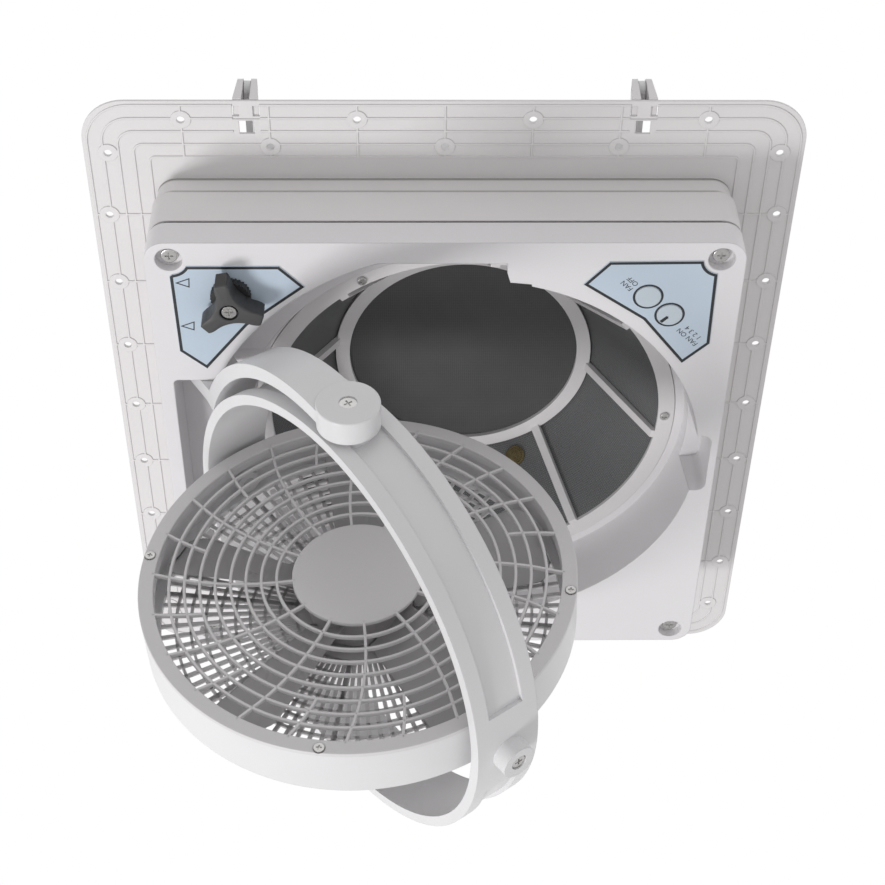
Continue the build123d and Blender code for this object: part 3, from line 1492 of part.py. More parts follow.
with BuildPart() as speed_dial:
    with BuildSketch(level(-button_back, x=dial_x, y=duct_y - dial_y)):
        Circle(button_r)
    extrude(amount=-button_thick)
    fillet(speed_dial.faces().sort_by(Axis.Z)[0].edges(), head_round)
    with BuildSketch(level(-button_back, x=dial_x, y=duct_y - dial_y)):
        Circle(stem_r)
    extrude(amount=stem_long)
    with BuildSketch(level(-button_back - button_thick, x=dial_x, y=duct_y - dial_y)):
        with PolarLocations(button_r / 2 + head_round, 1, start_angle=pointer_turn):
            Rectangle(button_r - head_round, cross_width)
    extrude(amount=cross_depth / 2, mode=Mode.SUBTRACT)
speed_dial.part.label = "speed_dial"
export_step(speed_dial.part, "parts/speed_dial.step")

# Brass terminal through the cone's mesh: ridged collar inside, round nut outside
bend_r = (terminal_at_r - terminal_r * math.sin(mesh_lean)) / math.cos(mesh_lean)
collar_seat = bend_r - math.sqrt(bend_r * bend_r - terminal_r * terminal_r) + running_gap
back_seat = mesh_thick / 2 * math.cos(mesh_lean) + running_gap
with BuildPart() as wire_terminal:
    with BuildSketch(terminal_plane.offset(collar_seat)):
        Circle(terminal_r)
    extrude(amount=terminal_step)
    with BuildSketch(terminal_plane.offset(collar_seat)):
        Circle(terminal_ridge_r)
    extrude(amount=terminal_step * 2)
    with BuildSketch(terminal_plane.offset(-back_seat)):
        Circle(terminal_stud_r)
    extrude(amount=back_seat + collar_seat + terminal_step * 3)
    with BuildSketch(terminal_plane.offset(-back_seat)):
        Circle(terminal_back_r)
    extrude(amount=-terminal_step * 2)
wire_terminal.part.label = "wire_terminal"
export_step(wire_terminal.part, "parts/wire_terminal.step")
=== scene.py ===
import math

import bmesh
import bpy
import numpy as np
from mathutils import Matrix, Vector


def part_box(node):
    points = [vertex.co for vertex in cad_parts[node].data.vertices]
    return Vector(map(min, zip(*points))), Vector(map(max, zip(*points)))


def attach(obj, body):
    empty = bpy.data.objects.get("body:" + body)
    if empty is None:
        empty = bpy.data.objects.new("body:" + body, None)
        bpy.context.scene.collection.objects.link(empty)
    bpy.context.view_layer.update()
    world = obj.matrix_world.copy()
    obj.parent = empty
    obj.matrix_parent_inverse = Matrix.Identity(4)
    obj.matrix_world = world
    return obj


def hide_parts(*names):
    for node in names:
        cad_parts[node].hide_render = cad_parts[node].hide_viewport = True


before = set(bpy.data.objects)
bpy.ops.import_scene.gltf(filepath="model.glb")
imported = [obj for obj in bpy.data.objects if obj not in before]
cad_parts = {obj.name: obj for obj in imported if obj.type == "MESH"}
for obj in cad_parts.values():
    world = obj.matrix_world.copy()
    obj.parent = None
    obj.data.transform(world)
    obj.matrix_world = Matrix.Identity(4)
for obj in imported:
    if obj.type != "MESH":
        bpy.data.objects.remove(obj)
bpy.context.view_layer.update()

# Outer flange with its duct: one injection moulding in white ABS, ribbed underneath, which
# is bedded in sealant on the caravan's roof and screwed down through 32 bosses. Painted shade
# darkens the duct where it meets the plate and just above the duct's step.


class Reading:
    """What a node's socket gives. Sums, differences, products and quotients of it, in either
    order, and tests with > or < add the Math node that works them out."""

    def __init__(self, finish, socket):
        self.finish = finish
        self.socket = socket

    def worked(self, operation, first, second):
        sockets = {0: first, 1: second}
        return self.finish.node("ShaderNodeMath", {"operation": operation}, sockets)(0)

    def __add__(self, other):
        return self.worked("ADD", self, other)

    def __radd__(self, other):
        return self.worked("ADD", other, self)

    def __sub__(self, other):
        return self.worked("SUBTRACT", self, other)

    def __rsub__(self, other):
        return self.worked("SUBTRACT", other, self)

    def __mul__(self, other):
        return self.worked("MULTIPLY", self, other)

    def __rmul__(self, other):
        return self.worked("MULTIPLY", other, self)

    def __truediv__(self, other):
        return self.worked("DIVIDE", self, other)

    def __rtruediv__(self, other):
        return self.worked("DIVIDE", other, self)

    def __gt__(self, other):
        return self.worked("GREATER_THAN", self, other)

    def __lt__(self, other):
        return self.worked("LESS_THAN", self, other)


class Finish:
    """A surface finish, or the studio's surround, that is being laid out as shader nodes."""

    def __init__(self, owner):
        self.material = owner
        owner.use_nodes = True
        self.tree = owner.node_tree
        self.tree.nodes.clear()

    def node(self, kind, settings=None, sockets=None):
        """Adds a node, with its settings first and then its sockets' values or links, and
        gives a function that reads its outputs."""
        made = self.tree.nodes.new(kind)
        for key, value in (settings or {}).items():
            setattr(made, key, value)
        for key, value in (sockets or {}).items():
            if isinstance(value, Reading):
                self.tree.links.new(value.socket, made.inputs[key])
            elif made.inputs[key].type == "RGBA":
                made.inputs[key].default_value = (*value, 1)
            else:
                made.inputs[key].default_value = value
        return lambda output: Reading(self, made.outputs[output])

    def place(self, shift=(0, 0, 0), stretch=(1, 1, 1)):
        """The object's own coordinates in metres, moved and then stretched."""
        own = self.node("ShaderNodeTexCoord")("Object")
        sockets = {"Vector": own, "Location": shift, "Scale": stretch}
        return self.node("ShaderNodeMapping", None, sockets)("Vector")

    def clouds(self, size, detail=2.0, stretch=(1, 1, 1)):
        """Soft noise from 0 to 1, with features of about that size in metres."""
        sockets = {"Vector": self.place(stretch=stretch), "Scale": 1 / size, "Detail": detail}
        return self.node("ShaderNodeTexNoise", None, sockets)("Fac")

    def between(self, value, low, high):
        """Runs from 0 to 1 as the value goes from low to high."""
        sockets = {"Value": value, "From Min": low, "From Max": high}
        return self.node("ShaderNodeMapRange", None, sockets)("Result")

    def blend(self, share, first, second):
        """The first colour where share is 0 and the second where it is 1."""
        return self.node("ShaderNodeMix", {"data_type": "RGBA"}, {0: share, 6: first, 7: second})(2)

    def grain(self, height, depth, strength=1.0, edge=0.0):
        """Surface relief: height from 0 to 1 times depth in metres, over edges that are
        rounded by that radius."""
        sockets = {"Strength": strength, "Distance": depth, "Height": height}
        if edge:
            bevel = self.node("ShaderNodeBevel", {"samples": bevel_samples}, {"Radius": edge})
            sockets["Normal"] = bevel("Normal")
        return self.node("ShaderNodeBump", None, sockets)("Normal")

    def surface(self, colour, roughness, normal=None, **fixed):
        """Closes the finish with one Principled shader."""
        sockets = {"Base Color": colour, "Roughness": roughness}
        if normal:
            sockets["Normal"] = normal
        for key, value in fixed.items():
            sockets[key.replace("_", " ")] = value
        shader = self.node("ShaderNodeBsdfPrincipled", None, sockets)("BSDF")
        self.node("ShaderNodeOutputMaterial", None, {"Surface": shader})
        return self.material


def finish_of(name):
    """A new material's finish."""
    return Finish(bpy.data.materials.new(name))


bevel_samples = 6
satin = 0.38
mould_round = 0.0006
cloud_size = 0.045
fine_size = 0.0011
smear_size = 0.012
smear_stretch = (1.0, 0.35, 0.6)
speckle = 0.16
speckle_shade = 0.82
mould_grain = 0.00003
mould_strength = 0.55
smear_gloss = 0.16
gloss_under = 0.06
plastic_shine = 0.42
painted_shade_grey = (0.20, 0.185, 0.18)
painted_shade_share = 0.9


def moulded_plastic(name, colour, shade, gloss=satin, edge=mould_round, corners=()):
    """Satin moulded plastic: wide faint clouding, a tint that comes and goes, fine grain from
    the mould's face, and a roughness that drifts with handling. Painted shade darkens corners,
    each given as the levels where it ends, is thickest and stops, and its way out, up or down."""
    finish = finish_of(name)
    clouding = finish.clouds(cloud_size, 3.0)
    fine = finish.clouds(fine_size, 2.0)
    smears = finish.clouds(smear_size, 4.0, smear_stretch)
    tint = finish.blend(clouding, colour, shade)
    spots = (fine - 0.5) * speckle + speckle / 2
    tint = finish.blend(spots, tint, [part * speckle_shade for part in colour])
    # Painted shade: towards each corner's thickest level the colour darkens to a grey.
    for ends_at, thickest_at, stops_at, way in corners:
        level = finish.node("ShaderNodeSeparateXYZ", None, {"Vector": finish.place()})("Z") * way
        thick = finish.between(level, ends_at * way, thickest_at * way)
        tint = finish.blend(thick * (level > stops_at * way) * painted_shade_share, tint, painted_shade_grey)
    relief = finish.grain(fine * 0.6 + smears * 0.4, mould_grain, mould_strength, edge)
    roughness = smears * smear_gloss + (gloss - gloss_under)
    return finish.surface(tint, roughness, relief, Specular_IOR_Level=plastic_shine)


def coated(finish, *nodes):
    """Puts a finish on CAD nodes that stay as they are."""
    for node in nodes:
        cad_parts[node].data.materials.clear()
        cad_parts[node].data.materials.append(finish)


flange_tint = (0.80, 0.78, 0.785)
flange_shade = (0.76, 0.735, 0.74)
roof_white = moulded_plastic("flange_plastic", flange_tint, flange_shade)
collar_low = -0.016
collar_in = 0.0015
painted_shade_reach = 0.0028
under_plate = -0.00002
# Painted shade: a dark band on the duct just below the plate, and one just above the duct's step.
plate_corner = (-painted_shade_reach, -painted_shade_reach / 3, under_plate, -1)
ledge_corner = (collar_low + collar_in + painted_shade_reach, collar_low + collar_in, collar_low, 1)
both_corners = (plate_corner, ledge_corner)
duct_white = moulded_plastic("duct_plastic", flange_tint, flange_shade, corners=both_corners)
coated(duct_white, "outer_flange")

# Lid seal: a soft black rubber profile pressed onto the coaming's rim, which the lid's land
# closes on.
seal = finish_of("seal_rubber")
bloom_size = 0.006
seal_pores = 0.0006
seal_grain = 0.00005
seal_bloom = seal.clouds(bloom_size, 4.0)
seal_tint = seal.blend(seal_bloom, (0.018, 0.018, 0.019), (0.045, 0.044, 0.042))
seal_relief = seal.grain(seal.clouds(seal_pores), seal_grain)
seal_rubber = seal.surface(seal_tint, seal_bloom * 0.15 + 0.62, seal_relief)
coated(seal_rubber, "lid_seal")

# Lid: a vacuum-formed acrylic dome with a skirt, in milky white, hung on two steel pins
# between the flange's tabs.
lid_gloss = 0.22
lid_white = moulded_plastic("lid_plastic", (0.76, 0.76, 0.765), (0.72, 0.72, 0.725), lid_gloss)
coated(lid_white, "lid_dome")
rub_size = 0.0007
dull_size = 0.004
rub_deep = 0.00001
metal_round = 0.0002


def rubbed_metal(name, colour, shade, gloss):
    """Plated or turned metal: fine rubbing, with spots where the plating is duller."""
    finish = finish_of(name)
    rubbing = finish.clouds(rub_size, 3.0)
    dull = finish.clouds(dull_size, 3.0)
    tint = finish.blend(dull, colour, shade)
    relief = finish.grain(rubbing, rub_deep, 1.0, metal_round)
    return finish.surface(tint, rubbing * 0.14 + dull * 0.1 + gloss, relief, Metallic=1.0)


zinc_plate = rubbed_metal("zinc_plate", (0.55, 0.55, 0.56), (0.42, 0.42, 0.44), 0.3)
coated(zinc_plate, "hinge_pins")

# Lid lift: a forged fork under the lid stands on a brass nut, which runs up two guide rods as
# the spindle turns in it. Base and rods are zinc-plated steel.
nylon_tint = (0.040, 0.040, 0.043)
nylon_shade = (0.055, 0.055, 0.058)
nylon_gloss = 0.40
dark_nylon = moulded_plastic("dark_nylon", nylon_tint, nylon_shade, nylon_gloss)
coated(dark_nylon, "cam_fork")
bright_steel = rubbed_metal("screw_steel", (0.72, 0.71, 0.7), (0.5, 0.49, 0.48), 0.16)
coated(bright_steel, "fork_screws")
turned_brass = rubbed_metal("turned_brass", (0.62, 0.45, 0.19), (0.42, 0.3, 0.13), 0.22)
coated(turned_brass, "lift_nut")
coated(zinc_plate, "guide_rods", "lift_base", "lead_spindle")

# Ceiling trim: a thin-walled ABS moulding that covers the duct's lower end, with the round
# well for the fan, the arm's channel and four cups for its screws.
trim_tint = (0.81, 0.795, 0.81)
trim_shade = (0.78, 0.76, 0.775)
trim_gloss = 0.33
trim_round = 0.0012
trim_white = moulded_plastic("trim_plastic", trim_tint, trim_shade, trim_gloss, trim_round)
coated(trim_white, "inner_trim")

# Shade strip: a thin black frame between the duct's end and the trim's rim, a little inside
# both, which stands for the shade in the gap and shows as a dark line all round.
shade_strip_finish = finish_of("painted_shade_strip")
cell_size = 0.0009
cell_deep = 0.0002
strip_cells = shade_strip_finish.clouds(cell_size, 3.0)
shade_strip_tint = shade_strip_finish.blend(strip_cells, (0.006, 0.006, 0.006), (0.018, 0.018, 0.018))
shade_strip_black = shade_strip_finish.surface(shade_strip_tint, strip_cells * 0.1 + 0.85, shade_strip_finish.grain(strip_cells, cell_deep))
duct_middle = np.array((0.0, -0.00935))
duct_half = 0.175
strip_round = 0.0135
strip_in = 0.0008
strip_wide = 0.0014
strip_low = -0.04625
strip_high = -0.04445
strip_steps = 8


def grid_quads(rows, columns, round_rows=False, round_columns=False):
    """The quads between neighbouring points of a grid, closed round either way if asked."""
    row = np.arange(rows if round_rows else rows - 1)[:, None]
    column = np.arange(columns if round_columns else columns - 1)[None, :]
    next_row = (row + 1) % rows * columns
    next_column = (column + 1) % columns
    this_row = row * columns
    corners = (this_row + column, this_row + next_column, next_row + next_column, next_row + column)
    return np.stack(np.broadcast_arrays(*corners), axis=-1).reshape(-1, 4)


def shell(points, round_rows=False, round_columns=False):
    """One surface of a piece: a grid of points, rows by columns by three, and its quads. They
    are turned round where the volume that they close comes out negative."""
    rows, columns = points.shape[:2]
    flat = points.reshape(-1, 3)
    quads = grid_quads(rows, columns, round_rows, round_columns)
    a, b, c, d = (flat[quads[:, corner]] - flat.mean(axis=0) for corner in range(4))
    volume = (np.cross(a, b) * c).sum() + (np.cross(a, c) * d).sum()
    return flat, quads if volume > 0 else quads[:, ::-1]


meeting = 0.000001


def made_of(name, finish, shells, flat_angle=35):
    """A mesh piece of several shells. Points that meet are merged, which closes the poles, and
    edges sharper than the angle in degrees stay sharp."""
    starts = np.cumsum([0] + [len(flat) for flat, quads in shells])
    points = np.concatenate([flat for flat, quads in shells])
    quads = np.concatenate([quads + start for (flat, quads), start in zip(shells, starts)])
    mesh = bpy.data.meshes.new(name)
    mesh.vertices.add(len(points))
    mesh.vertices.foreach_set("co", points.ravel())
    mesh.loops.add(quads.size)
    mesh.loops.foreach_set("vertex_index", quads.ravel().astype(np.int32))
    mesh.polygons.add(len(quads))
    mesh.polygons.foreach_set("loop_start", np.arange(len(quads), dtype=np.int32) * 4)
    mesh.update(calc_edges=True)
    solid = bmesh.new()
    solid.from_mesh(mesh)
    bmesh.ops.remove_doubles(solid, verts=solid.verts, dist=meeting)
    solid.to_mesh(mesh)
    solid.free()
    mesh.shade_smooth()
    mesh.set_sharp_from_angle(angle=math.radians(flat_angle))
    mesh.materials.append(finish)
    piece = bpy.data.objects.new(name, mesh)
    bpy.context.scene.collection.objects.link(piece)
    return piece


def fitted(piece, body, slot, *nodes):
    """Gives a piece its body and hides the nodes it stands for. The slot is not used."""
    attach(piece, body)
    if nodes:
        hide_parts(*nodes)


def shade_strip_frame():
    """A square frame with round corners: four quarter circles joined by straight runs, moved
    out to the frame's two edges, at its two levels."""
    arc = np.linspace(0, math.pi / 2, strip_steps)
    turn = np.concatenate([arc + quarter * math.pi / 2 for quarter in range(4)])
    quarter_way = np.repeat(np.arange(4) * math.pi / 2 + math.pi / 4, strip_steps)
    flat_to = (duct_half - strip_in - strip_round) * math.sqrt(2)
    section = ((0, strip_low), (0, strip_high), (-strip_wide, strip_high), (-strip_wide, strip_low))
    edges = []
    for radius, z in section:
        x = duct_middle[0] + flat_to * np.cos(quarter_way) + (strip_round + radius) * np.cos(turn)
        y = duct_middle[1] + flat_to * np.sin(quarter_way) + (strip_round + radius) * np.sin(turn)
        edges.append(np.stack((x, y, turn * 0 + z), axis=1))
    return shell(np.stack(edges, axis=1), True, True)


# The dark strip in the gap between the duct and the trim is painted shade.
fitted(made_of("duct_shade_strip", shade_strip_black, [shade_strip_frame()]), "frame", "seal_rubber")

# Trim screws: four pan-head screws of plated steel with a cross recess, driven up through the
# trim into the flange's posts. Their heads are sunk in cups.
coated(bright_steel, "panel_screws")

# Labels: printed plates of light blue plastic, glued on the trim beside the knob and beside
# the controls. The print is a layer of ink: a black line round each plate, two pointers by
# the knob, and a ring and words by each control.
plate_gloss = 0.3
print_blue = moulded_plastic("label_plate", (0.54, 0.63, 0.73), (0.58, 0.67, 0.77), plate_gloss)
coated(print_blue, "label_left", "label_right")
ink = finish_of("label_ink")
wear_size = 0.003
ink_grain = 0.00002
ink_wear = ink.clouds(wear_size, 3.0)
ink_tint = ink.blend(ink_wear, (0.012, 0.013, 0.016), (0.035, 0.037, 0.042))
label_ink = ink.surface(ink_tint, ink_wear * 0.2 + 0.35, ink.grain(ink_wear, ink_grain))
label_under = -0.0666
ink_thick = 0.00005
line_wide = 0.0018
line_in = 0.0002
cup_half = 0.0105
cup_at = (0.1605, 0.163)
cup_steps = 12
ring_steps = 64
left_corner_shares = np.array(
    (
        (-0.8714, -0.9057),
        (-0.5537, -0.9057),
        (-0.4714, -0.8189),
        (-0.6737, -0.6514),
        (-0.8251, -0.4577),
        (-0.9137, -0.5377),
        (-0.9200, -0.8640),
    )
)
right_corner_shares = np.array(
    (
        (0.4623, -0.8280),
        (0.5446, -0.9234),
        (0.8737, -0.9269),
        (0.9091, -0.8789),
        (0.9143, -0.5680),
        (0.8257, -0.4794),
        (0.6754, -0.6754),
    )
)


def drawn_in(outline, inset):
    """The outline with each side moved inwards by the inset: a corner moves along the sum of
    its two sides' inward normals, over one plus the cosine of the turn between them."""
    side = np.roll(outline, -1, axis=0) - outline
    side = side / np.linalg.norm(side, axis=1)[:, None]
    inward = np.stack((-side[:, 1], side[:, 0]), axis=1)
    before = np.roll(inward, 1, axis=0)
    return outline + (inward + before) * (inset / (1 + (inward * before).sum(axis=1)))[:, None]


def ink_line(outline, wide):
    """A band of ink inside a closed outline: a rectangle's four edges carried along it."""
    inner = drawn_in(outline, wide)
    low = np.full((len(outline), 1), label_under - ink_thick)
    high = np.full((len(outline), 1), label_under)
    pairs = ((outline, high), (outline, low), (inner, low), (inner, high))
    return shell(np.stack([np.hstack(pair) for pair in pairs], axis=1), True, True)


def cut_corner(outline, first, last, cup):
    """The outline with its corners from first to last replaced by an arc round a screw cup,
    from the point where the side before them meets it to where the side after them does."""
    ends = []
    for corner, neighbour in ((first, first - 1), (last, (last + 1) % len(outline))):
        run = outline[neighbour] - outline[corner]
        run = run / np.linalg.norm(run)
        along = (cup - outline[corner]) @ run
        off = np.linalg.norm(cup - outline[corner] - along * run)
        ends.append(outline[corner] + run * (along + math.sqrt(cup_half**2 - off**2)) - cup)
    start, stop = (math.atan2(y, x) for x, y in ends)
    turn = start + ((stop - start + math.pi) % math.tau - math.pi) * np.linspace(0, 1, cup_steps)
    arc = cup + cup_half * np.stack((np.cos(turn), np.sin(turn)), axis=1)
    return np.concatenate((outline[:first], arc, outline[last + 1:]))


def word(name, body, centre, size):
    """A word printed on a plate that is seen from below. It reads along the plate's slanted
    edge, towards -X and -Y, and is made a mesh before it is put in place."""
    letters = bpy.data.curves.new(name, "FONT")
    letters.body = body
    letters.size = size
    letters.align_x = "CENTER"
    letters.align_y = "CENTER"
    letters.extrude = ink_thick / 2
    letters.resolution_u = 4
    held = bpy.data.objects.new(name, letters)
    mesh = bpy.data.meshes.new_from_object(held)
    bpy.data.objects.remove(held)
    slant = math.sqrt(0.5)
    axes = Matrix(((-slant, -slant, 0), (-slant, slant, 0), (0, 0, -1)))
    lift = Vector((*centre, label_under - ink_thick / 2))
    mesh.transform(Matrix.Translation(lift) @ axes.to_4x4())
    mesh.materials.clear()
    mesh.materials.append(label_ink)
    piece = bpy.data.objects.new(name, mesh)
    bpy.context.scene.collection.objects.link(piece)
    return piece


def ink_ring(centre, inner, outer):
    """A ring of ink: a rectangle's four edges carried round a circle."""
    turn = np.linspace(0, math.tau, ring_steps, endpoint=False)[:, None]
    face = label_under - ink_thick
    edges = []
    for radius, z in ((inner, label_under), (outer, label_under), (outer, face), (inner, face)):
        x = centre[0] + radius * np.cos(turn)
        y = centre[1] + radius * np.sin(turn)
        edges.append(np.hstack((x, y, turn * 0 + z)))
    return shell(np.stack(edges, axis=1), True, True)


def ink_patch(outline, under):
    """A filled patch of ink: its outline at two levels, drawn to its middle on each face."""
    middle = np.broadcast_to(outline.mean(axis=0), outline.shape)
    face = under - ink_thick
    rows = []
    for flat, z in ((middle, under), (outline, under), (outline, face), (middle, face)):
        rows.append(np.hstack((flat, np.full((len(flat), 1), z))))
    return shell(np.stack(rows), False, True)


left_outline = duct_middle + duct_half * left_corner_shares
right_outline = duct_middle + duct_half * right_corner_shares
screw_cup = duct_middle + np.array(cup_at) * (-1, -1)
left_outline = cut_corner(left_outline, 0, 0, screw_cup)
right_outline = cut_corner(right_outline, 2, 3, duct_middle + np.array(cup_at) * (1, -1))
pointers = np.array(
    (
        ((-0.1582, -0.1558), (-0.1494, -0.1595), (-0.1499, -0.1523)),
        ((-0.1579, -0.1231), (-0.1491, -0.1268), (-0.1497, -0.1197)),
    )
)
pointer_line = 0.0007
left_print = [ink_line(drawn_in(left_outline, line_in), line_wide)]
left_print += [ink_line(pointer, pointer_line) for pointer in pointers]
fitted(made_of("label_print_left", label_ink, left_print), "frame", "label")
button_centre = (0.1197, -0.14525)
off_place = (0.1081, -0.15505)
on_place = (0.14755, -0.11565)
dial_centre = (0.1336, -0.13145)
ring_inner = 0.00802
ring_outer = 0.0091
right_print = [ink_line(drawn_in(right_outline, line_in), line_wide)]
right_print += [ink_ring(centre, ring_inner, ring_outer) for centre in (button_centre, dial_centre)]
fitted(made_of("label_print_right", label_ink, right_print), "frame", "label")
letter_size = 0.0046
fitted(word("label_fan_off", "FAN\nOFF", off_place, letter_size), "frame", "label")
fitted(word("label_fan_on", "FAN ON\n1 2 3 4", on_place, letter_size), "frame", "label")

# Fly screen: a white frame of rim, eight spokes and a centre ring, with dark woven mesh
# behind it, held by three small screws. A brass terminal goes through the mesh.
screen_white = moulded_plastic("screen_plastic", (0.76, 0.74, 0.745), (0.72, 0.70, 0.71))
coated(screen_white, "flyscreen_frame")
well_shift = (-0.015, 0.00935, 0.0)
wire_pitch = 0.0014
slope_pitch = 0.0012
wires_round = 470
hole_below = 0.40
wire_deep = 0.0002
wire_strength = 0.8
dust_size = 0.02
cone_highlight = (0.40, 0.41, 0.42)
disc_highlight = (0.16, 0.16, 0.16)


def woven_mesh(name, highlight_tint, round_cone):
    """Woven fly mesh: two sets of dark wires with open holes between them. On the cone one
    set runs up the slope and the other round it; on the disc they run along X and Y."""
    weave = finish_of(name)
    place = weave.place(well_shift)
    across = weave.node("ShaderNodeSeparateXYZ", None, {"Vector": place})
    first, second = across("X") / wire_pitch, across("Y") / wire_pitch
    if round_cone:
        radial = {"gradient_type": "RADIAL"}
        turn = weave.node("ShaderNodeTexGradient", radial, {"Vector": place})("Fac")
        first, second = turn * wires_round, across("Z") / slope_pitch
    wave_one = first.worked("PINGPONG", first, 0.5) * 2
    wave_two = second.worked("PINGPONG", second, 0.5) * 2
    wires = wave_one.worked("MAXIMUM", wave_one, wave_two)
    dust = weave.clouds(dust_size, 3.0)
    # Painted highlight: the wires' crests are coloured lighter, brighter on the cone than on the
    # disc.
    crest_highlight = weave.between(wires, 0.5, 1.0)
    tint = weave.blend(dust, (0.040, 0.040, 0.041), (0.070, 0.070, 0.069))
    tint = weave.blend(crest_highlight * 0.6, tint, highlight_tint)
    relief = weave.grain(wires, wire_deep, wire_strength)
    return weave.surface(tint, dust * 0.1 + 0.42, relief, Alpha=wires > hole_below)


coated(woven_mesh("cone_weave", cone_highlight, True), "flyscreen_mesh_side")
coated(woven_mesh("disc_weave", disc_highlight, False), "flyscreen_mesh_centre")
coated(bright_steel, "flyscreen_screws")
aged_brass = rubbed_metal("aged_brass", (0.42, 0.34, 0.18), (0.14, 0.11, 0.06), 0.14)
coated(aged_brass, "wire_terminal")

# Knob: a three-lobed handle moulded in black nylon, with blunt lobes, hollowed sides and a
# ribbed neck, pushed on the spindle's end and held by one screw in its sunk middle.
knob_low, knob_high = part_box("knob")
knob_at = np.array((-0.126, -0.14785))
lobe_turn = math.radians(19)
lobe_far = 0.0201
lobe_half_wide = 0.0046
waist = 0.0085
neck = 0.0116
neck_rib = 0.0004
neck_ribs = 30
neck_long = 0.005
knob_round = 0.0012
sink = 0.0055
sink_deep = 0.003
knob_turns = 360
knob_smooth = 4
knob_sharp = 40
knob_grain_size = 0.0009
knob_rub_size = 0.008
knob_grain_deep = 0.00006
knob_strength = 0.8
knob_black = finish_of("knob_nylon")
knob_grain = knob_black.clouds(knob_grain_size, 3.0)
knob_rub = knob_black.clouds(knob_rub_size, 4.0)
knob_z = knob_black.node("ShaderNodeSeparateXYZ", None, {"Vector": knob_black.place()})("Z")
# Painted sheen: the knob's flat face is coloured lighter than its sides.
painted_face_sheen = knob_black.between(knob_z, knob_low[2] + knob_round, knob_low[2] + knob_round / 3)
knob_tint = knob_black.blend(knob_rub, (0.022, 0.022, 0.023), (0.036, 0.036, 0.038))
knob_tint = knob_black.blend(painted_face_sheen, knob_tint, (0.060, 0.059, 0.061))
knob_relief = knob_black.grain(knob_grain * 0.7 + knob_rub * 0.3, knob_grain_deep, knob_strength)
knob_nylon = knob_black.surface(knob_tint, knob_rub * 0.2 + 0.38, knob_relief)


def lobed(turn):
    """The knob's outline, as a radius for each turn. Near a lobe's middle it is the flat end,
    the end's distance over the cosine. Elsewhere it is an arc round a centre outside, which
    meets the end's corner and the waist. A running mean rounds the corners."""
    off = np.abs((turn - lobe_turn + math.pi / 3) % (math.tau / 3) - math.pi / 3)
    corner = math.hypot(lobe_far, lobe_half_wide)
    corner_turn = math.atan2(lobe_half_wide, lobe_far)
    reach = corner * math.cos(math.pi / 3 - corner_turn)
    centre = (corner**2 - waist**2) / (2 * (reach - waist))
    aside = centre * np.sin(math.pi / 3 - off)
    arc = centre * np.cos(math.pi / 3 - off)
    arc = arc - np.sqrt(np.maximum((centre - waist) ** 2 - aside**2, 0))
    radius = np.where(off < corner_turn, lobe_far / np.cos(off), arc)
    steps = range(-knob_smooth, knob_smooth + 1)
    return sum(np.roll(radius, step) for step in steps) / len(steps)


def turned_levels(levels, centre):
    """A closed body from one radius for each turn at each level: rows of rings, up Z."""
    turn = np.linspace(0, math.tau, knob_turns, endpoint=False)
    rows = []
    for radius, z in levels:
        x = centre[0] + radius * np.cos(turn)
        y = centre[1] + radius * np.sin(turn)
        rows.append(np.stack((x, y, turn * 0 + z), axis=1))
    return shell(np.stack(rows), False, True)


knob_turn = np.linspace(0, math.tau, knob_turns, endpoint=False)
lobes = lobed(knob_turn)
ribbed = neck + neck_rib * np.cos(knob_turn * neck_ribs)
neck_foot, face_z = knob_high[2], knob_low[2]
lobe_back = neck_foot - neck_long
knob_levels = [(0, neck_foot), (ribbed, neck_foot), (ribbed, lobe_back)]
knob_levels += [(lobes - knob_round / 2, lobe_back), (lobes, lobe_back - knob_round / 2)]
for step in np.linspace(0, math.pi / 2, 6):
    inset, drop = knob_round * (1 - math.cos(step)), knob_round * (1 - math.sin(step))
    knob_levels.append((lobes - inset, face_z + drop))
knob_levels += [(sink + knob_round / 3, face_z), (sink, face_z + knob_round / 3)]
knob_levels += [(sink, face_z + sink_deep), (0, face_z + sink_deep)]
knob_shell = turned_levels(knob_levels, knob_at)
knob_piece = made_of("knob_three_lobes", knob_nylon, [knob_shell], knob_sharp)
fitted(knob_piece, "knob", "dark_plastic", "knob")
coated(bright_steel, "knob_screw")

# Controls: the off button and the speed dial in light blue plastic, each in its bore, on a
# switch and a dial body that stand on a small circuit board in a black housing.
button_tint = (0.56, 0.63, 0.69)
button_shade = (0.60, 0.66, 0.72)
button_round = 0.0004
button_look = (button_tint, button_shade, plate_gloss, button_round)
button_blue = moulded_plastic("button_plastic", *button_look)
coated(button_blue, "off_button", "speed_dial")
dial_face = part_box("speed_dial")[0][2]
dial_mark_turn = math.radians(135)
dial_mark_wide = 0.0021
mark_reach = (0.0016, 0.0070)
mark_way = np.array((math.cos(dial_mark_turn), math.sin(dial_mark_turn)))
mark_side = np.array((-mark_way[1], mark_way[0])) * dial_mark_wide / 2
mark_from, mark_to = (np.array(dial_centre) + mark_way * reach for reach in mark_reach)
mark_there = (mark_from - mark_side, mark_to - mark_side)
mark_back = (mark_to + mark_side, mark_from + mark_side)
mark_outline = np.stack(mark_there + mark_back)
dial_mark = made_of("dial_mark", label_ink, [ink_patch(mark_outline, dial_face)])
fitted(dial_mark, "speed_dial", "label")
coated(dark_nylon, "control_housing", "switch_body", "dial_body")
board = finish_of("board_laminate")
cloth_size = 0.0012
board_weave = board.clouds(cloth_size, 2.0)
board_tint = board.blend(board_weave, (0.02, 0.10, 0.04), (0.03, 0.14, 0.06))
coated(board.surface(board_tint, board_weave * 0.2 + 0.3), "circuit_board")
coated(zinc_plate, "button_spring")

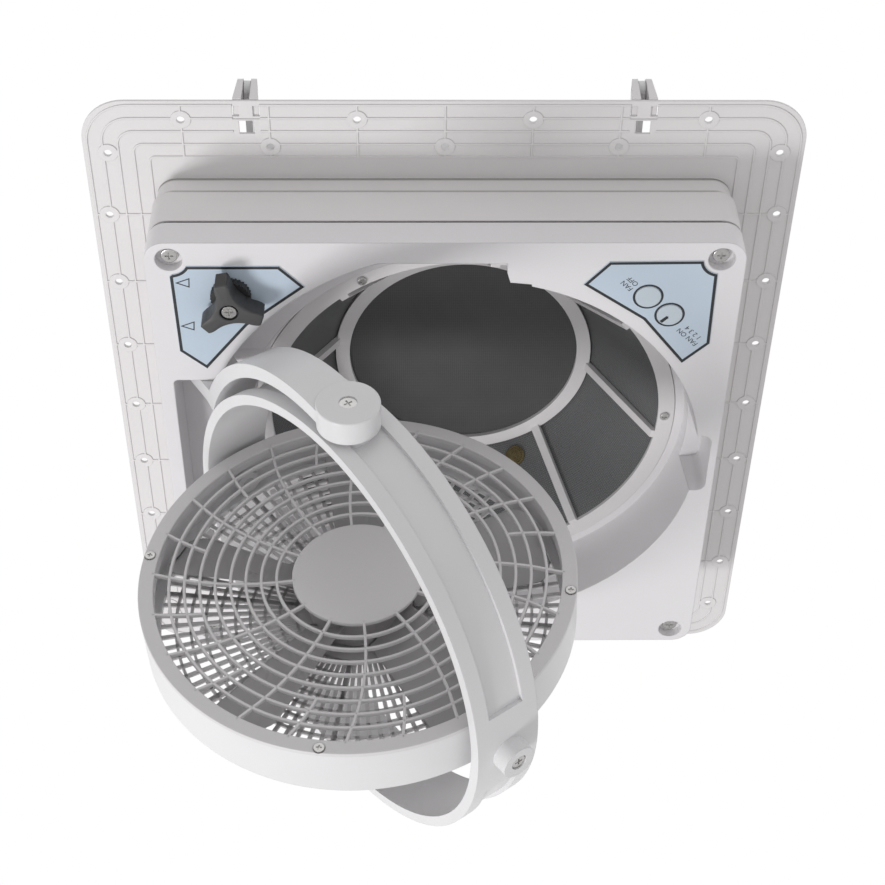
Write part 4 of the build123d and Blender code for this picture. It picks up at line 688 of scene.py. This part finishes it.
# Arm: a curved arm moulded with its barrel and its round pad, in white nylon, hinged in a
# bracket behind the trim.
arm_gloss = 0.3
arm_white = moulded_plastic("arm_plastic", (0.76, 0.755, 0.765), (0.72, 0.71, 0.72), arm_gloss)
coated(arm_white, "pivot_arm")
coated(roof_white, "arm_bracket")
coated(bright_steel, "bracket_screws", "arm_end_screw", "pad_screw")
coated(zinc_plate, "arm_end_cap")

# Hoop: a half ring in the same nylon, with a recessed outer face and a round lug at each
# end, which swivels on a pin in the arm's pad over a friction washer.
coated(arm_white, "swivel_hoop")
coated(zinc_plate, "swivel_pin", "tilt_pins")
coated(dark_nylon, "swivel_washer")
coated(bright_steel, "lug_screws")

# Fan: a round housing band that tilts between the hoop's lugs, with a moulded guard on each
# side. The front guard's bars bend as they go out, and four screws in small sinks hold it. The
# rear guard is a close grille.
guard_tint = (0.70, 0.685, 0.69)
guard_shade = (0.66, 0.645, 0.65)
guard_gloss = 0.36
guard_round = 0.0003
guard_white = moulded_plastic("guard_plastic", guard_tint, guard_shade, guard_gloss, guard_round)
coated(arm_white, "fan_housing")
coated(bright_steel, "guard_screws")
fan_middle = np.array((-0.0509759, -0.00935, -0.1820582))
fan_across = np.array((0.59482279, 0.0, -0.80385686))
fan_out = np.array((-0.04207062, -0.99862953, -0.03113062))
fan_axes = np.stack((fan_across, np.cross(fan_out, fan_across), fan_out))
bar_wide = 0.0017
bar_round = 0.0005
hub_round = 0.0008
rim_r = 0.1196
guard_hub_r = 0.0385
guard_top = 0.023
guard_foot = 0.0205
guard_edge_r = 0.1285
front_rings = 8
short_bar_ring = 6
bar_count = 12
bar_steps = 12
disc_turns = 96
ring_turns = 120
guard_pitch = (rim_r - guard_hub_r) / (front_rings + 1)
short_bar_r = guard_hub_r + guard_pitch * short_bar_ring
bar_lean = math.radians(-8.6)
lean_power = 1.6


def rounded_bar(wide, low, high, edge):
    """A bar's section, as offsets and levels: a rectangle with quarter circles of the edge's
    radius at its two upper corners."""
    turn = np.linspace(0, math.pi / 2, 4)
    offset = wide / 2 - edge + edge * np.cos(turn)
    right = np.stack((offset, high - edge + edge * np.sin(turn)), axis=1)
    left = right[::-1] * (-1, 1)
    return np.concatenate((((wide / 2, low),), right, left, ((-wide / 2, low),)))


def fan_ring(section, radius, turns=ring_turns):
    """The section carried round the fan's axis at that radius."""
    turn = np.linspace(0, math.tau, turns, endpoint=False)[:, None]
    far = radius + section[:, 0][None, :]
    level = section[:, 1][None, :] + turn * 0
    points = np.stack((far * np.cos(turn), far * np.sin(turn), level), axis=-1)
    return shell(fan_middle + points @ fan_axes, True, True)


def fan_disc(profile):
    """A profile of radii and levels, from the axis and back to it, turned round the axis."""
    turn = np.linspace(0, math.tau, disc_turns, endpoint=False)[None, :]
    radius, level = profile[:, 0][:, None], profile[:, 1][:, None]
    points = np.stack((radius * np.cos(turn), radius * np.sin(turn), level + turn * 0), axis=-1)
    return shell(fan_middle + points @ fan_axes, False, True)


def fan_bar(section, inner, outer, angle, lean=0.0):
    """The section carried along a radius from inner to outer, with its ends drawn together.
    With a lean the bar turns about the axis as it goes out, by the lean times a power of the
    share of the way from the hub to the rim."""
    reach = np.concatenate(((inner,), np.linspace(inner, outer, bar_steps), (outer,)))[:, None]
    drawn = np.concatenate(((0,), np.ones(bar_steps), (0,)))[:, None]
    middle = section.mean(axis=0)
    side = middle[0] + (section[:, 0] - middle[0])[None, :] * drawn
    level = middle[1] + (section[:, 1] - middle[1])[None, :] * drawn
    way_out = np.clip((reach - guard_hub_r) / (rim_r - guard_hub_r), 0, 1)
    turn = angle + lean * way_out**lean_power
    x = reach * np.cos(turn) - side * np.sin(turn)
    y = reach * np.sin(turn) + side * np.cos(turn)
    return shell(fan_middle + np.stack((x, y, level), axis=-1) @ fan_axes, False, True)


def disc_profile(radius, low, high, edge):
    """A disc's profile from the axis out over its rounded upper edge and back underneath."""
    turn = np.linspace(math.pi / 2, 0, 5)
    reach = radius - edge + edge * np.cos(turn)
    over = np.stack((reach, high - edge + edge * np.sin(turn)), axis=1)
    return np.concatenate((((0, high),), over, ((radius, low), (0, low))))


sink_reach = 0.0036
sink_slope = 0.0006
sink_drop = 0.00125
guard_screw_r = 0.125
rim_turns = 1440
rim_steps = 18


def sunk_rim(section):
    """The rim: its section carried round the axis, with a round sink about each of four
    screws. Points of the upper face go down by the sink's depth, in a short slope at its edge."""
    turn = np.linspace(0, math.tau, rim_turns, endpoint=False)[:, None]
    far = (guard_edge_r + rim_r) / 2 + section[:, 0][None, :]
    height = section[:, 1][None, :] + turn * 0
    screw = (turn - math.pi / 4) % (math.pi / 2)
    screw = np.minimum(screw, math.pi / 2 - screw)
    apart = np.hypot(far * np.cos(screw) - guard_screw_r, far * np.sin(screw))
    share = np.clip((sink_reach - apart) / sink_slope, 0, 1)
    floor_level = guard_top - sink_drop
    height = np.where(height > floor_level, height + (floor_level - height) * share, height)
    points = np.stack((far * np.cos(turn), far * np.sin(turn), height), axis=-1)
    return shell(fan_middle + points @ fan_axes, True, True)


front_section = rounded_bar(bar_wide, guard_foot, guard_top, bar_round)
rim_section = rounded_bar(guard_edge_r - rim_r, guard_foot, guard_top, bar_round)
rim_top = np.linspace(rim_section[4], rim_section[5], rim_steps)[1:-1]
rim_section = np.concatenate((rim_section[:5], rim_top, rim_section[5:]))
front_shells = [fan_disc(disc_profile(guard_hub_r, guard_foot, guard_top, hub_round))]
front_shells += [sunk_rim(rim_section)]
for step in range(1, front_rings + 1):
    front_shells.append(fan_ring(front_section, guard_hub_r + guard_pitch * step))
bar_apart = 360 // bar_count
bar_starts = [(guard_hub_r - bar_wide, bar_apart * step) for step in range(bar_count)]
bar_starts += [(short_bar_r, bar_apart // 2 + bar_apart * step) for step in range(bar_count)]
bar_end = rim_r + bar_wide
for start, turn in bar_starts:
    front_shells.append(fan_bar(front_section, start, bar_end, math.radians(turn), bar_lean))
fitted(made_of("guard_front", guard_white, front_shells), "fan", "guard_plastic", "front_guard")
rear_face = -0.011
rear_foot = -0.0135
rear_hub_r = 0.040
rear_rings = 8
rear_edge_r = 0.1259
rear_turns = 180
rear_spokes = 8
fine_wide = 0.0023
fine_low = 0.0004
fine_count = 88
rear_pitch = (rim_r - rear_hub_r) / (rear_rings + 1)
to_rear = (1, -1)
rear_section = rounded_bar(bar_wide, -rear_face, -rear_foot, bar_round) * to_rear
rear_spoke = rounded_bar(bar_wide * 2, -rear_face, -rear_foot, bar_round) * to_rear
rear_rim = rounded_bar(rear_edge_r - rim_r, -rear_face, -rear_foot, bar_round) * to_rear
fine_section = rounded_bar(fine_wide, -rear_face, -rear_foot - fine_low, bar_round) * to_rear
rear_hub = disc_profile(rear_hub_r, -rear_face, -rear_foot, hub_round) * to_rear
rear_shells = [fan_disc(rear_hub), fan_ring(rear_rim, (rear_edge_r + rim_r) / 2, rear_turns)]
for step in range(1, rear_rings + 1):
    rear_shells.append(fan_ring(rear_section, rear_hub_r + rear_pitch * step))
rear_start = rear_hub_r - bar_wide
for section, count in ((rear_spoke, rear_spokes), (fine_section, fine_count)):
    for step in range(count):
        rear_shells.append(fan_bar(section, rear_start, bar_end, math.tau * step / count))
fitted(made_of("guard_rear", guard_white, rear_shells), "fan", "guard_plastic", "rear_guard")

# Motor and rotor: a steel motor can in a plastic cover on the rear guard, its shaft, and a
# rotor moulded in grey plastic, with a cup for a hub and five twisted, hollowed blades.
coated(guard_white, "motor_cover")
coated(zinc_plate, "motor_can", "rotor_shaft")
rotor_gloss = 0.28
rotor_grey = moulded_plastic("rotor_plastic", (0.46, 0.45, 0.455), (0.40, 0.39, 0.395), rotor_gloss)
blade_count = 5
cup_r = 0.031
cup_front = 0.014
cup_back = -0.007
cup_wall = 0.0022
cup_bore = 0.0029
blade_root_r = 0.0295
blade_tip_r = 0.1155
blade_chords = (0.034, 0.052)
blade_pitches = (34, 20)
blade_level = 0.004
blade_thick = 0.0022
blade_hollow = 0.0028
blade_rows = 28
blade_points = 28
tip_from = 0.86
tip_share = 0.14
tip_narrow = 0.82
end_thin = 0.05
blade_thinning = 0.45
hollow_middle = 0.4
rotor_sharp = 40


def blade(angle):
    """A blade: a section of chord and thickness, bent by a parabola, that grows and turns
    from root to tip. Near the tip the chord follows an ellipse, which rounds the corners."""
    along = np.linspace(0, 1, blade_rows)[:, None]
    turn = np.linspace(0, math.tau, blade_points, endpoint=False)[None, :]
    chord = blade_chords[0] + (blade_chords[1] - blade_chords[0]) * along
    tip = np.clip((along - tip_from) / tip_share, 0, 1)
    chord = chord * np.sqrt(1 - (tip * tip_narrow) ** 2)
    at_end = (along == 0) | (along == 1)
    thick = blade_thick * np.where(at_end, end_thin, 1 - blade_thinning * along)
    pitch = np.radians(blade_pitches[0] + (blade_pitches[1] - blade_pitches[0]) * along)
    x = chord / 2 * np.cos(turn)
    y = thick / 2 * np.sin(turn) + blade_hollow * (np.cos(turn) ** 2 - hollow_middle)
    side = x * np.cos(pitch) - y * np.sin(pitch)
    level = x * np.sin(pitch) + y * np.cos(pitch) + blade_level
    radius = blade_root_r + (blade_tip_r - blade_root_r) * along + side * 0
    points = np.stack((radius, side, level), axis=-1)
    root = points[:1].mean(axis=1, keepdims=True) + points[:1] * 0
    end = points[-1:].mean(axis=1, keepdims=True) + points[-1:] * 0
    points = np.concatenate((root, points, end))
    ahead = (math.cos(angle), math.sin(angle), 0)
    spin = np.array((ahead, (-ahead[1], ahead[0], 0), (0, 0, 1)))
    return shell(fan_middle + points @ spin @ fan_axes, False, True)


cup_turn = np.linspace(math.pi / 2, 0, 6)
cup_edge = 0.003
cup_reach = cup_r - cup_edge + cup_edge * np.cos(cup_turn)
cup_over = np.stack((cup_reach, cup_front - cup_edge + cup_edge * np.sin(cup_turn)), axis=1)
cup_floor = cup_front - cup_wall
cup_inner = ((cup_r, cup_back), (cup_r - cup_wall, cup_back), (cup_r - cup_wall, cup_floor))
cup_sleeve = ((cup_bore * 2, cup_floor), (cup_bore * 2, cup_back), (cup_bore, cup_back))
cup_close = ((cup_bore, cup_floor), (0, cup_floor))
cup_profile = np.concatenate((((0, cup_front),), cup_over, cup_inner, cup_sleeve, cup_close))
rotor_shells = [fan_disc(cup_profile)]
rotor_shells += [blade(math.tau * step / blade_count) for step in range(blade_count)]
rotor_piece = made_of("rotor_blades", rotor_grey, rotor_shells, rotor_sharp)
fitted(rotor_piece, "rotor", "rotor_plastic", "fan_rotor")

# Studio: the camera fitted to the photograph, a pale floor far below, a white surround, one
# large lamp from the lower left rear as in the photograph, and a weak one beside the camera.
eye = Vector((-0.019076, -0.833169, -0.919643))
azimuth, elevation, roll = (math.radians(turn) for turn in (-1.30546749, -46.6147383, -1.08166131))
level_y = -math.cos(azimuth) * math.cos(elevation)
back = Vector((math.sin(azimuth) * math.cos(elevation), level_y, math.sin(elevation)))
level_right = (-back).cross(Vector((0, 0, 1))).normalized()
level_up = level_right.cross(-back)
right = level_right * math.cos(roll) + level_up * math.sin(roll)
up = level_up * math.cos(roll) - level_right * math.sin(roll)
photo_width = 885
lens_pixels = 1853.82051
sensor_width = 36
view = bpy.data.cameras.new("view")
view.sensor_width = sensor_width
view.lens = lens_pixels * view.sensor_width / photo_width
view.clip_start = 0.05
camera = bpy.data.objects.new("view", view)
camera.matrix_world = Matrix.Translation(eye) @ Matrix((right, up, back)).transposed().to_4x4()
bpy.context.scene.collection.objects.link(camera)
bpy.context.scene.camera = camera
lit_point = Vector((0, 0, -0.1))


def lamp(name, place, size, power):
    """A square area lamp at a place, turned to the object."""
    light = bpy.data.lights.new(name, "AREA")
    light.size = size
    light.energy = power
    holder = bpy.data.objects.new(name, light)
    turn = (lit_point - Vector(place)).to_track_quat("-Z", "Y").to_matrix().to_4x4()
    holder.matrix_world = Matrix.Translation(place) @ turn
    bpy.context.scene.collection.objects.link(holder)


key_place = (-1.05, 0.35, -1.75)
key_size = 0.5
key_power = 19
fill_place = (0.6, -1.7, -0.9)
fill_size = 1.0
fill_power = 1.5
lamp("key", key_place, key_size, key_power)
lamp("fill", fill_place, fill_size, fill_power)
floor_half = 12.0
floor_low = -2.0
corners = np.array(((-1, -1), (1, -1), (1, 1), (-1, 1))) * floor_half
floor_mesh = bpy.data.meshes.new("floor")
floor_points = np.hstack((corners, np.full((4, 1), floor_low))).tolist()
floor_mesh.from_pydata(floor_points, [], [(0, 1, 2, 3)])
floor = bpy.data.objects.new("floor", floor_mesh)
bpy.context.scene.collection.objects.link(floor)
ground = finish_of("floor_paper")
paper_clouds = 0.4
paper_rough = 0.9
ground_tint = ground.blend(ground.clouds(paper_clouds), (0.80, 0.80, 0.80), (0.82, 0.82, 0.82))
floor_mesh.materials.append(ground.surface(ground_tint, paper_rough))
surround = Finish(bpy.data.worlds.new("surround"))
bpy.context.scene.world = surround.material
white = (1.0, 1.0, 1.0)
plain_strength = 0.68
plain_light = {"Color": white, "Strength": plain_strength}
plain = surround.node("ShaderNodeBackground", None, plain_light)("Background")
shown_light = {"Color": white, "Strength": 1.0}
shown = surround.node("ShaderNodeBackground", None, shown_light)("Background")
path = surround.node("ShaderNodeLightPath")
by_camera, by_glass = path("Is Camera Ray"), path("Is Transmission Ray")
seen = by_camera.worked("MAXIMUM", by_camera, by_glass)
seen = seen.worked("MAXIMUM", seen, path("Is Glossy Ray"))
mixed = surround.node("ShaderNodeMixShader", None, {0: seen, 1: plain, 2: shown})("Shader")
surround.node("ShaderNodeOutputWorld", None, {"Surface": mixed})
bpy.context.scene.view_settings.view_transform = "Standard"
